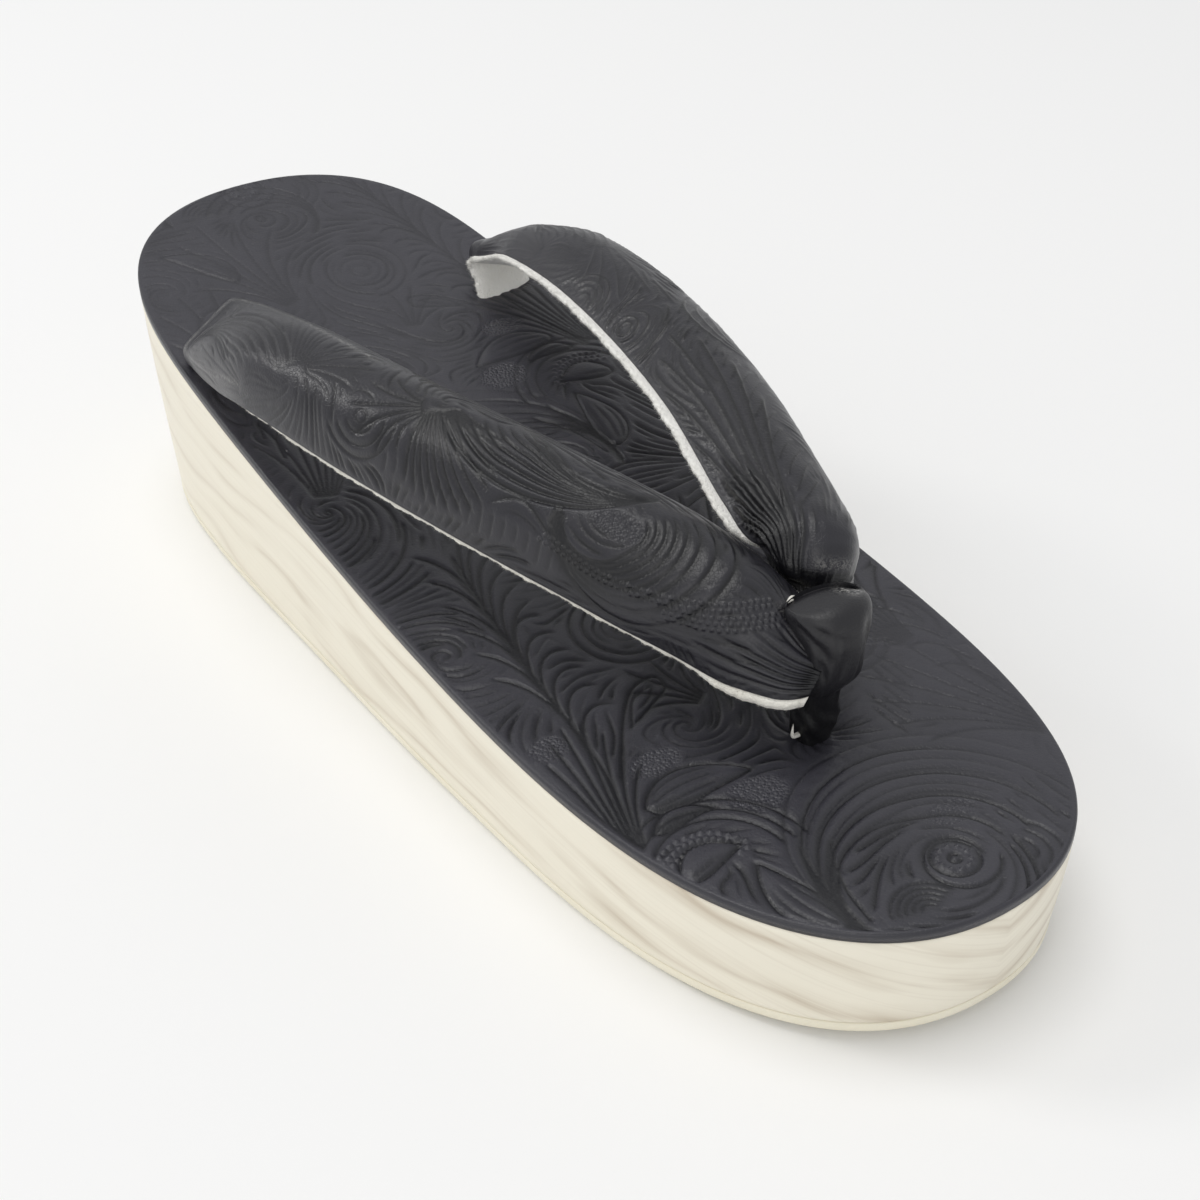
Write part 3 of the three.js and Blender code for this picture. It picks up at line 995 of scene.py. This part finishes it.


# Linear colours of each leather: the dark of its grooves, which is painted shade, and its ridges; then its
# least and mean roughness
LEATHERS = {
    "cover_leather": ((0.008, 0.008, 0.0108), (0.039, 0.0382, 0.048), (0.26, 0.34)),
    "strap_leather": ((0.004, 0.004, 0.0056), (0.0205, 0.02, 0.0258), (0.24, 0.32)),
    "loop_leather": ((0.0035, 0.0035, 0.0045), (0.014, 0.0136, 0.0166), (0.32, 0.41)),
}
# Pale colour of real scuffs on the loop and of the straps' wear and painted highlights
SCUFF_AND_HIGHLIGHT_COLOUR = (0.42, 0.41, 0.39, 1)
PORES_PER_METRE = 1500

# Linear colours of the felts' darker and lighter patches, the far felt paler than the near one as painted
# light on its flap in the strap's shade, and of the other sheets
FELTS_WITH_FAR_PAINTED_LIGHT = {
    "felt_near": ((0.74, 0.715, 0.64), (0.86, 0.84, 0.775)),
    "felt_far": ((0.88, 0.865, 0.82), (0.95, 0.94, 0.90)),
}
WRAP_CREAM = (0.865, 0.818, 0.695)
WRAP_TAN = (0.56, 0.48, 0.37)
OUTSOLE_DARK = (0.83, 0.78, 0.63)
OUTSOLE_LIGHT = (0.87, 0.825, 0.69)
FLOOR_PALE = (0.93, 0.93, 0.93)


def leather_finish(name):
    """Satin leather with painted shade darkening its grooves, pale scuffs and painted highlights, dotted
    grounds, pores and grain
    """
    painted_groove_shade, ridge_colour, roughness = LEATHERS[name]
    finish = Finish(name, ridge_colour, roughness[0], Specular_IOR_Level=0.5)
    cloud = finish.noise(55, 3)
    # shade carries the painted shade of grooves, creases, the straps' front ends and the loop's post, with a
    # random cloud of tone
    shade = finish.math("MULTIPLY", finish.value("groove"), finish.blend(cloud, 0.72, 1.22))
    leather = finish.ramp(shade, (0.25, painted_groove_shade), (0.95, ridge_colour))
    crinkle = finish.ramp(finish.noise(1300, 3, distortion=2.0), (0.44, 0.0), (0.6, 1.0))
    # Mixes in the pale of scuffs, wear and painted highlights
    worn_and_highlit = finish.add("Mix", {"data_type": "RGBA"})
    finish.feed(worn_and_highlit.inputs["Factor"], finish.math("MULTIPLY", finish.value("wear_and_highlight"), crinkle))
    finish.feed(worn_and_highlit.inputs[6], leather)
    finish.feed(worn_and_highlit.inputs[7], SCUFF_AND_HIGHLIGHT_COLOUR)
    finish.set("Base Color", worn_and_highlit.outputs[2])
    grain = finish.noise(PORES_PER_METRE, 2)
    finish.set("Roughness", finish.blend(finish.math("ADD", grain, cloud), *roughness))
    dotted = finish.math("MULTIPLY", finish.cells("F1", PORES_PER_METRE), finish.value("stipple"))
    pores = finish.ramp(finish.cells("DISTANCE_TO_EDGE", PORES_PER_METRE), (0.0, 0.0), (0.12, 1.0))
    finish.bump((dotted, -0.22), (pores, 0.016), (grain, 0.032))
    return finish.material


def felt_finish(name):
    dark, light = FELTS_WITH_FAR_PAINTED_LIGHT[name]
    finish = Finish(name, light, 0.95, Specular_IOR_Level=0.2, Sheen_Weight=0.35, Sheen_Roughness=0.6)
    patch = finish.noise(160, 3)
    finish.set("Base Color", finish.ramp(patch, (0.3, dark), (0.7, light)))
    finish.bump((finish.noise(900, 4, distortion=1.5), 0.35), (finish.noise(3200, 2), 0.1))
    return finish.material


def wrap_finish():
    """Cream sheet printed with wood grain: long tan lines that sink towards the toe and fade to the heel.
    Places on it are in units of 100 mm, round the sheet from the toe and up it"""
    finish = Finish("wood_grain_wrap", WRAP_CREAM, 0.42, Specular_IOR_Level=0.45)
    place = finish.add("Attribute", {"attribute_name": "wrap"}).outputs["Vector"]
    reach, height, _ = finish.add("SeparateXYZ", Vector=place).outputs
    away = finish.math("ABSOLUTE", reach)
    arch = finish.math("MULTIPLY", finish.math("TANH", finish.math("MULTIPLY", away, 2.2)), 0.2)
    rise = finish.math("ADD", arch, finish.math("MULTIPLY", away, 0.06))
    level = finish.math("SUBTRACT", height, rise)
    warp = finish.math("MULTIPLY", finish.noise(1.6, 2, finish.scaled(place, 1.0, 2.6)), 3.6)
    rings = finish.math("FRACT", finish.math("ADD", finish.math("MULTIPLY", level, 13.0), warp))
    line = finish.ramp(rings, (0.0, 0.0), (0.16, 0.4), (0.3, 1.0), (0.42, 0.4), (0.7, 0.0))
    along_level = finish.add("CombineXYZ", X=reach, Y=level).outputs[0]
    broken = finish.noise(2.4, 2, finish.scaled(along_level, 0.8, 7.0))
    fade = finish.ramp(broken, (0.4, 0.0), (0.58, 1.0))
    hairs = finish.noise(3.0, 3, finish.scaled(along_level, 0.7, 40.0))
    fine = finish.ramp(hairs, (0.5, 0.0), (0.74, 0.26))
    grain = finish.math("MINIMUM", finish.math("ADD", finish.math("MULTIPLY", line, fade), fine), 1.0)
    amount = finish.math("MULTIPLY", grain, finish.math("MULTIPLY_ADD", away, -0.28, 1.0))
    finish.set("Base Color", finish.ramp(amount, (0.0, WRAP_CREAM), (1.0, WRAP_TAN)))
    finish.set("Roughness", finish.blend(finish.noise(400, 2), 0.36, 0.52))
    finish.bump((finish.noise(700, 2), 0.02))
    return finish.material


def outsole_finish():
    finish = Finish("outsole_rubber", OUTSOLE_LIGHT, 0.55, Specular_IOR_Level=0.4)
    finish.set("Base Color", finish.ramp(finish.noise(60, 3), (0.3, OUTSOLE_DARK), (0.7, OUTSOLE_LIGHT)))
    finish.bump((finish.noise(1100, 2), 0.05))
    return finish.material


# The pieces


def cover_rows(leather, angle, columns):
    """Rows of points across the cover: its tooled top, then its two rounded edges, with their shares"""
    share = np.linspace(-1, 1, columns)
    x, y = outline(angle, COVER_EDGE_ROUND)
    top_x = x[:, None] * share[None]
    top_y = np.broadcast_to(y[:, None], top_x.shape)
    height, kept, ground = emboss(leather, top_x, top_y, COVER_DEPTH)
    edge_fade = smooth((x[:, None] - np.abs(top_x)) / COVER_EDGE_FADE)
    top_z = top_height(top_y) + edge_fade * height - cover_hollows(top_x, top_y)
    edges = []
    for inset, drop in quarter_round(COVER_EDGE_ROUND, 5)[1:] + [(0, COVER_THICKNESS)]:
        edge_x, edge_y = outline(angle, inset)
        edges.append(np.stack([edge_x, edge_y, top_height(edge_y) - drop], -1))
    right = np.stack(edges, 1)
    left = right[:, ::-1] * (-1, 1, 1)
    points = np.concatenate([left, np.stack([top_x, top_y, top_z], -1), right], axis=1)
    rim = np.full((len(angle), right.shape[1]), COVER_EDGE_SHADE)
    # The grooves' darker colour is painted shade
    groove = np.concatenate([rim, 1 - (1 - kept) * edge_fade, rim], 1)
    stipple = np.concatenate([0 * rim, ground * edge_fade, 0 * rim], 1)
    return points, groove, stipple


def cover_piece(material):
    """The tooled cover, closed by a flat back"""
    angle, _ = spaced_angles(COVER_STEP, EDGE_STEP)
    points, groove, stipple = cover_rows(tool_cover(), angle, COVER_COLUMNS)
    rows, columns = points.shape[:2]
    flat = points.reshape(-1, 3)
    left = np.arange(rows) * columns
    right = left + columns - 1
    back = np.column_stack([right[:-1], left[:-1], left[1:], right[1:]])
    quads = turned_out(flat, np.concatenate([ring_quads(rows, columns, closed=False), back]))
    values = {"groove": groove.reshape(-1), "stipple": stipple.reshape(-1)}
    piece = make_piece("cover_leather", flat, quads, material, "embossed_leather", ["top_cover"], values)
    thin_out(piece, COVER_TRIANGLES)
    return piece


def front_lean(y):
    return FRONT_LEAN * np.clip((STRAP_REAR_Y - y) / (STRAP_REAR_Y - STRAP_FRONT_Y), 0, 1)


def cover_hollows(x, y):
    """The cover dips where the loop's post and the strap tails pull it in"""
    foot = dict(zip(LOOP_COLUMNS, LOOP_LEVELS[0]))
    depth, reach = POST_DIP
    dip = depth * np.exp(-((np.hypot(x - foot["x"], y - foot["y"]) / reach) ** 2))
    depth, reach_x, reach_y, behind = TAIL_DIP
    for side, rear in ((-1, NEAR_REAR), (1, FAR_REAR)):
        tail = dict(zip(STRAP_COLUMNS, rear[-1]))
        away_x = (x - side * tail["x"]) / reach_x
        away_y = (y - tail["y"] - behind) / reach_y
        dip = dip + depth * np.exp(-(away_x**2) - away_y**2)
    return dip


class Strap:
    """The sweep of one strap, at shares of its table's rows"""

    def __init__(self, edge):
        self.edge = edge
        self.side = -1 if edge == "near" else 1
        front, rear = (NEAR_FRONT, NEAR_REAR) if edge == "near" else (FAR_FRONT, FAR_REAR)
        table = dict(zip(STRAP_COLUMNS, np.array(front + STRAP_MIDDLE + rear, float).T))
        self.path = np.column_stack([table["x"], table["y"], top_height(table["y"]) + table["lift"]])
        self.shape = np.column_stack([table[key] for key in ("width", "tilt", "thick", "crown", "lean")])
        fine = np.linspace(0, 1, 4001)
        distance = distances(catmull(self.path, fine))
        self.distance = np.arange(0, distance[-1], STRAP_STEP)
        self.share = np.interp(self.distance, distance, fine)
        self.frames()

    def frames(self):
        """Middle, directions and sizes of each row, then the fold about the last row and the tail"""
        nudge = 1e-4
        ahead = catmull(self.path, np.minimum(self.share + nudge, 1))
        behind = catmull(self.path, np.maximum(self.share - nudge, 0))
        forward = unit(ahead - behind)
        inward = unit(np.column_stack([-forward[:, 1], forward[:, 0], 0 * forward[:, 0]]))
        upward = np.cross(forward, inward)
        self.width, tilt, self.thick, self.power, lean = catmull(self.shape, self.share).T
        turn = np.radians(tilt)[:, None]
        nod = np.radians(lean)[:, None]
        self.middle = catmull(self.path, self.share)
        self.across = inward * np.cos(turn) + upward * np.sin(turn)
        self.outward = np.cross(forward, self.across) * np.cos(nod) - forward * np.sin(nod)
        self.add_fold(forward[-1])

    def add_fold(self, forward):
        """Rows that turn down about the last row, with a squared corner, and run on as the tail"""
        self.fold_start = self.distance[-1]
        outward, across, thick = self.outward[-1], self.across[-1], self.thick[-1]
        arm = FOLD_INSIDE + CROWN_BELOW_PATH * thick
        pivot = self.middle[-1] - arm * outward
        full = math.radians(FOLD_TURN[self.edge])
        bend = np.linspace(0, full, int((arm + thick) * full / STRAP_STEP))[1:]
        square = (np.abs(np.cos(bend)) ** FOLD_SQUARE + np.sin(bend) ** FOLD_SQUARE) ** (-1 / FOLD_SQUARE)
        turned = np.cos(bend)[:, None] * outward + np.sin(bend)[:, None] * forward
        round_fold = pivot + (arm * square)[:, None] * turned
        run = np.arange(STRAP_STEP, TAIL_LENGTH, STRAP_STEP)
        tail = round_fold[-1] + run[:, None] * (math.cos(full) * forward - math.sin(full) * outward)
        count = len(bend) + len(run)
        narrow = 1 - TAIL_NARROWS * np.append(0 * bend, run / TAIL_LENGTH)
        self.middle = np.vstack([self.middle, round_fold, tail])
        self.outward = np.vstack([self.outward, turned, np.broadcast_to(turned[-1], (len(run), 3))])
        self.across = np.vstack([self.across, np.broadcast_to(across, (count, 3))])
        self.width = np.append(self.width, self.width[-1] * narrow)
        self.thick = np.append(self.thick, thick * np.append(square, np.full(len(run), square[-1])))
        self.power = np.append(self.power, np.full(count, self.power[-1]))
        run_on = STRAP_STEP * np.arange(1, count + 1)
        self.distance = self.fold_start + np.append(self.distance - self.fold_start, run_on)

    def at(self, u, v):
        """Points at rows of offsets across the section and outward from it"""
        middle, across, outward = (rows[:, None] for rows in (self.middle, self.across, self.outward))
        points = middle + across * u[..., None] + outward * v[..., None]
        points[..., 0] = self.side * points[..., 0] + front_lean(points[..., 1])
        return points

    def rim(self):
        return -CROWN_BELOW_PATH * self.thick[:, None]

    def felt_extra(self):
        """How much thicker the felt is at the near strap's front end"""
        extra = FELT_FRONT_EXTRA if self.edge == "near" else 0
        return extra * front_share(self.distance[:, None], self.edge)

    def crown(self):
        across = np.cos(np.linspace(0, math.pi, CROWN_COLUMNS))[None]
        dome = 1 - np.abs(across) ** self.power[:, None]
        u = 0.5 * self.width[:, None] * across
        shows = FELT_SHOWS + self.felt_extra()
        v = self.rim() + shows + (self.thick[:, None] - shows) * dome
        return u, v


def surface_normals(points):
    """Unit normals of a strap's crown, turned outwards"""
    normal = unit(np.cross(np.gradient(points, axis=0), np.gradient(points, axis=1)))
    outward = np.cross(np.gradient(points[:, 0], axis=0), points[:, -1] - points[:, 0])
    return normal * np.sign(np.einsum("ij,ij->", normal[:, points.shape[1] // 2], outward))


# The arc across a strap's crown, how its relief fades at its edges and over the rear fold, and where painted
# shade darkens its front end:
# the near one as a painted shadow under the loop's edge, the far one as the painted dark of the slot it turns
# down into behind the loop
STRAP_ARC = 34.1
STRAP_EDGE_FADE = 1.6
UNDER_SPAN = 0.97
UNDER_RISE = 0.55
FOLD_CALM = 0.85
FOLD_EASE = 6.0
FRONT_PAINTED_SHADE = {"near": (0.4, 3.2), "far": (20.1, 20.6)}


def strap_piece(edge, leather, material):
    """The tooled leather of one strap, closed under the felt's upper side"""
    strap = Strap(edge)
    crown = strap.at(*strap.crown())
    normal = surface_normals(crown)
    steps = np.linalg.norm(np.diff(crown, axis=1), axis=-1)
    reach = np.concatenate([np.zeros((len(steps), 1)), np.cumsum(steps, axis=1)], 1)
    across = STRAP_ARC * (1 - reach / reach[:, -1:])
    distance = np.broadcast_to(strap.distance[:, None], across.shape)
    height, kept, ground = emboss(leather, distance, across, STRAP_DEPTH)
    fade = smooth(np.minimum(across, STRAP_ARC - across) / STRAP_EDGE_FADE)
    fade = fade * (1 - FOLD_CALM * smooth((distance - strap.fold_start + FOLD_EASE) / FOLD_EASE))
    crown = crown + normal * (fade * height)[..., None]
    under_share = np.linspace(-UNDER_SPAN, UNDER_SPAN, UNDER_COLUMNS)[None]
    under_height = strap.rim() + UNDER_RISE * FELT_SHOWS + strap.felt_extra()
    under = strap.at(0.5 * strap.width[:, None] * under_share, under_height + 0 * under_share)
    plain = np.ones((len(crown), UNDER_COLUMNS))
    start, end = FRONT_PAINTED_SHADE[edge]
    # Painted shade: grooves, creases and the front end darken the colour
    kept = (1 - (1 - kept) * fade) * smooth((distance - start) / (end - start))
    # Pale lines of wear and painted highlight
    worn_and_highlit = leather.sample(leather.worn_and_highlit, distance, across)
    values = {
        "wear_and_highlight": np.concatenate([worn_and_highlit, 0 * plain], 1).reshape(-1),
        "groove": np.concatenate([kept, plain], 1).reshape(-1),
        "stipple": np.concatenate([ground * fade, 0 * plain], 1).reshape(-1),
    }
    points, quads = tube(np.concatenate([crown, under], 1))
    piece = make_piece("strap_" + edge, points, quads, material, "strap_leather", ["strap_upper"], values)
    thin_out(piece, STRAP_TRIANGLES)
    return piece


def superellipse(count, power_x, power_y):
    """Angles round a squared ring, and its places there, which reach 1 at its sides"""
    angle = np.linspace(0, 2 * math.pi, count, endpoint=False)[None]
    x = np.sign(np.cos(angle)) * np.abs(np.cos(angle)) ** power_x
    y = np.sign(np.sin(angle)) * np.abs(np.sin(angle)) ** power_y
    return angle, x, y


def felt_piece(edge):
    """The felt lining under one strap, a soft pad a little wider than the leather over it"""
    strap = Strap(edge)
    random = np.random.default_rng(31 + strap.side)
    _, flat_cos, flat_sin = superellipse(FELT_COLUMNS, *FELT_SQUARE)
    swell = FELT_SWELL * strap.thick[:, None] * (1 - flat_cos**2)
    edges = [felt_ledge(strap.distance, edge, *FELT_LEDGES[edge + "_" + part])
             + FELT_WANDER[edge] * soft_wander(strap.distance, random) for part in ("inner", "outer")]
    ledge = np.where(flat_cos > 0, edges[0][:, None], edges[1][:, None])
    u = (0.5 * strap.width[:, None] + ledge * np.abs(flat_cos)) * flat_cos
    half = FELT_HALF + 0.5 * strap.felt_extra()
    v = strap.rim() + FELT_RAISE + 0.5 * strap.felt_extra() + half * flat_sin - swell * (flat_sin < 0)
    rings = strap.at(u, v)
    parts = [tube(rings), spikes(*felt_fibres(rings, FIBRE_LENGTH[edge], random))]
    if edge == "near":
        parts += [felt_curl(line, radius) for *line, radius in LOOSE_ENDS]
    points = np.concatenate([part for part, _ in parts])
    firsts = np.append(0, np.cumsum([len(part) for part, _ in parts]))
    quads = np.concatenate([part + first for (_, part), first in zip(parts, firsts)])
    name = "felt_" + edge
    piece = make_piece(name, points, quads, felt_finish(name), "strap_felt", ["strap_upper"])
    return piece


# Loose ends of the felt beside the loop: three places as x, y and height over the cover, then the thickness
LOOSE_ENDS = (
    ((0.4, -69.6, 23.6), (-1.2, -70.6, 24.9), (-2.7, -71.0, 24.7), 0.55),
    ((-1.2, -74.2, 0.8), (-3.2, -74.8, 1.8), (-3.5, -75.1, 4.6), 0.42),
)


def sides_of(heading):
    """Two directions square to each heading and to each other"""
    side = unit(np.cross(heading, (0.31, 0.42, 0.85)))
    return side, np.cross(heading, side)


def felt_curl(line, radius):
    """A tapered closed curl of felt along a line"""
    line = catmull(line, np.linspace(0, 1, 14))
    line[:, 2] += top_height(line[:, 1])
    side, other = sides_of(unit(np.gradient(line, axis=0)))
    angle = np.linspace(0, 2 * math.pi, 10, endpoint=False)[None, :, None]
    taper = radius * (1.03 - np.linspace(0, 1, len(line)) ** 2)[:, None, None]
    return tube(line[:, None] + taper * (np.cos(angle) * side[:, None] + np.sin(angle) * other[:, None]))


def front_share(distance, edge):
    """1 at a strap's front end, down to 0 where its felt runs on as usual"""
    start, end = FELT_FRONT[edge]
    return smooth((end - distance) / (end - start))


def felt_ledge(distance, edge, usual, front, last):
    """How far an edge of the felt stands past the leather along a strap"""
    end = smooth((distance - FELT_LAST[0]) / (FELT_LAST[1] - FELT_LAST[0]))
    return usual + (front - usual) * front_share(distance, edge) + (last - usual) * end


def soft_wander(distance, random):
    """A seeded uneven line of about a quarter millimetre along a strap"""
    total = np.zeros_like(distance)
    for length, size in ((14.0, 0.16), (5.0, 0.11), (2.1, 0.09), (0.9, 0.06)):
        length = length * random.uniform(0.85, 1.15)
        total += size * np.sin(2 * math.pi * distance / length + random.uniform(0, 6.3))
    return total


def felt_fibres(points, lengths, random):
    """Roots and tips of short loose fibres on the edges of a felt pad"""
    rows, columns = points.shape[:2]
    row = random.integers(2, rows - 2, FIBRE_COUNT)
    edge = random.choice((0, columns // 2), FIBRE_COUNT)
    column = (edge + random.integers(-4, 5, FIBRE_COUNT)) % columns
    roots = points[row, column]
    middle = points[row].mean(axis=1)
    away = unit(unit(roots - middle) + FIBRE_SPREAD * random.normal(size=(FIBRE_COUNT, 3)))
    length = random.uniform(*lengths, FIBRE_COUNT)
    return roots - FIBRE_SUNK * away, roots + away * length[:, None]


def spikes(roots, tips):
    """Thin three-sided closed spikes from roots to tips"""
    side, other = sides_of(unit(tips - roots))
    turns = [(math.cos(a), math.sin(a)) for a in (0, 2 * math.pi / 3, 4 * math.pi / 3)]
    corners = [roots + FIBRE_ROOT * (c * side + s * other) for c, s in turns]
    points = np.stack(corners + [tips], 1).reshape(-1, 3)
    firsts = 4 * np.arange(len(roots))[:, None, None]
    faces = np.array([(0, 1, 3, 3), (1, 2, 3, 3), (2, 0, 3, 3), (0, 2, 1, 1)])
    return points, (firsts + faces).reshape(-1, 4)


def loop_creases(angle, height):
    """Depth of the creases over the loop's band"""
    around = angle * LOOP_GIRTH
    sunk = 0 * (angle + height)
    for *ends, depth, width in LOOP_CREASES:
        start, end = (np.array([math.radians(a) * LOOP_GIRTH, h]) for a, h in (ends[:2], ends[2:]))
        run = end - start
        away = np.stack(np.broadcast_arrays(around - start[0], height - start[1]), -1)
        share = np.clip(away @ run / (run @ run), 0, 1)
        gap = np.linalg.norm(away - share[..., None] * run, axis=-1)
        force = depth * np.sin(math.pi * (0.15 + 0.7 * share))
        sunk = np.maximum(sunk, force * np.exp(-((gap / width) ** 2)))
    return sunk


def loop_piece(material):
    """The front loop: a band over the straps' ends that narrows to its post"""
    levels = catmull(LOOP_LEVELS, np.linspace(0, 1, LOOP_ROWS))
    height, x, y, depth, width = (column[:, None] for column in levels.T)
    angle, ring_x, ring_y = superellipse(LOOP_POINTS, 2 / LOOP_ROUNDNESS, 2 / LOOP_ROUNDNESS)
    pleated = PLEAT_DEPTH * (smooth((height - 4) / 8) * smooth((24.5 - height) / 3))
    pleat = pleated * np.sin(11 * angle + 1.1 * np.sin(height / 5.0)) - loop_creases(angle, height)
    knotted = KNOT_DEPTH * smooth((9 - height) / 5)
    knot = knotted * np.sin(4 * angle + height * 0.9) * np.sin(height * 0.75 + 2 * angle)
    grow = 1 + (pleat + knot) / (0.5 * np.maximum(width, 6))
    lip = smooth((height - LIP_RISE[0]) / (LIP_RISE[1] - LIP_RISE[0]))
    turn = LIP_TURN * 0.5 * width * ring_x
    middle = y + turn * smooth((y - LIP_Y + 1.3) / 1.2)
    behind = 0.5 * depth + lip * (LIP_Y + turn - middle - 0.5 * depth)
    reach = np.where(ring_y > 0, behind, 0.5 * depth)
    arch = LIP_ARCH * smooth((height - LIP_RISE[1]) / 6) * (1 - ring_x**2)
    arch = arch - LIP_DROOP * lip * np.maximum(0, ring_x) ** 2
    sides = x + 0.5 * width * ring_x * grow
    points = np.stack([sides, middle + reach * ring_y * grow, top_height(y) + height + arch], -1)
    # Painted shade: the band darkens down its post towards the knot
    shade = 0.1 + 0.8 * smooth((height + 0 * angle - 6) / 7)
    lifted = points - (0, 0, 1) * top_height(y)[..., None]
    wear_and_highlight = np.zeros(shade.shape)
    for *centre, radius in LOOP_SCUFFS:
        wear_and_highlight = np.maximum(wear_and_highlight, np.exp(-(np.linalg.norm(lifted - centre, axis=-1) / radius) ** 2))
    values = {"groove": shade.reshape(-1), "stipple": np.zeros(shade.size), "wear_and_highlight": wear_and_highlight.reshape(-1)}
    return make_piece("loop_band", *tube(points), material, "loop_leather", ["toe_loop"], values)


def wall_piece(name, levels, material, slot, node):
    """A slab of the base from rings of the whole outline, with places round the sheet and up it"""
    angle, distance = spaced_angles(WALL_STEP, WALL_STEP)
    around = np.concatenate([-angle[:0:-1], angle])
    reach = np.concatenate([-distance[:0:-1], distance])
    wave = sum(size * np.sin(reach / length + phase) for size, length, phase in WALL_WAVES)
    rings = []
    wraps = []
    for inset, height in levels:
        x, y = outline(np.abs(around), inset)
        rings.append(np.column_stack([np.sign(around) * (x - wave * (x > 1)), y, height(y)]))
        wraps.append(np.column_stack([reach, height(y), 0 * reach]) / 100)
    points = np.concatenate(rings)
    columns = len(around)
    quads = ring_quads(len(levels), columns, closed=False)
    half = np.arange(columns // 2)
    mirror = columns - 1 - half
    lids = []
    for level in (0, len(levels) - 1):
        lid = np.stack([half, half + 1, mirror - 1, mirror], -1) + level * columns
        lids.append(lid if level else lid[:, ::-1])
    quads = turned_out(points, np.concatenate([quads] + lids))
    return make_piece(name, points, quads, material, slot, [node], {"wrap": np.concatenate(wraps)})


def wall_levels():
    """Inset and height of each ring of the core's wall, with softened edges"""
    def level(part, pull):
        return (WALL_TAPER * (1 - part) ** WALL_CURVE + pull,
                lambda y: core_bottom(y) + part * (core_top(y) - core_bottom(y)))
    parts = np.linspace(0.012, 0.988, WALL_ROWS)
    low_pull, high_pull = WRAP_PULLS
    return [level(0.0, low_pull)] + [level(part, 0.0) for part in parts] + [level(1.0, high_pull)]


def core_bottom(y):
    return floor_height(y) + OUTSOLE_THICKNESS + WRAP_CLEAR


def core_top(y):
    return top_height(y) - COVER_THICKNESS - WRAP_CLEAR


def outsole_levels():
    """Inset and height of each ring of the outsole: its rounded lower edge, then its softened upper edge"""
    upper_edge = [(-0.1, OUTSOLE_THICKNESS - 0.25), (0.05, OUTSOLE_THICKNESS)]
    steps = quarter_round(OUTSOLE_EDGE_ROUND, 7) + upper_edge
    return [(WALL_TAPER + inset, lambda y, rise=rise: floor_height(y) + rise) for inset, rise in steps]


# The stage


def build_stage():
    """A pale floor, an even sky and the studio lights"""
    mesh = bpy.data.meshes.new("floor")
    corners = [(FLOOR_HALF * x, FLOOR_HALF * y, 0) for x, y in ((-1, -1), (1, -1), (1, 1), (-1, 1))]
    mesh.from_pydata(corners, [], [(0, 1, 2, 3)])
    mesh.materials.append(Finish("floor_paper", FLOOR_PALE, 0.9, Specular_IOR_Level=0.0).material)
    floor = bpy.data.objects.new("floor", mesh)
    bpy.context.scene.collection.objects.link(floor)
    world = bpy.data.worlds.new("studio")
    world.use_nodes = True
    sky = world.node_tree.nodes["Background"].inputs
    sky["Color"].default_value = SKY_COLOUR
    sky["Strength"].default_value = SKY_STRENGTH
    bpy.context.scene.world = world
    for light in LIGHTS:
        add_light(*light)
    bpy.context.scene.view_settings.view_transform = "Standard"


def add_light(name, at, size, power, colour):
    data = bpy.data.lights.new(name, "AREA")
    data.shape = "DISK"
    data.size = size
    data.energy = power
    data.color = colour
    light = bpy.data.objects.new(name, data)
    light.location = at
    light.rotation_euler = (-Vector(at)).to_track_quat("-Z", "Y").to_euler()
    bpy.context.scene.collection.objects.link(light)


def build_camera():
    data = bpy.data.cameras.new("camera")
    data.lens = CAMERA_LENS
    data.sensor_width = CAMERA_SENSOR
    data.sensor_fit = "HORIZONTAL"
    data.clip_start = 0.01
    camera = bpy.data.objects.new("camera", data)
    back = (Vector(CAMERA_AT) - Vector(CAMERA_AIM)).normalized()
    right = Vector(CAMERA_UP).cross(back).normalized()
    up = back.cross(right)
    turn = Matrix((right, up, back)).transposed().to_4x4()
    camera.matrix_world = Matrix.Translation(Vector(CAMERA_AT) * MM) @ turn
    bpy.context.scene.collection.objects.link(camera)
    bpy.context.scene.camera = camera


def main():
    cover, strap, loop = (leather_finish(name) for name in LEATHERS)
    cover_piece(cover)
    strap_piece("near", tool_near_strap(), strap)
    strap_piece("far", tool_far_strap(), strap)
    felt_piece("near")
    felt_piece("far")
    loop_piece(loop)
    wall_piece("wood_wrap", wall_levels(), wrap_finish(), "wood_grain_wrap", "sole_core")
    wall_piece("outsole_edge", outsole_levels(), outsole_finish(), "outsole_rubber", "outsole")
    build_stage()
    build_camera()


main()
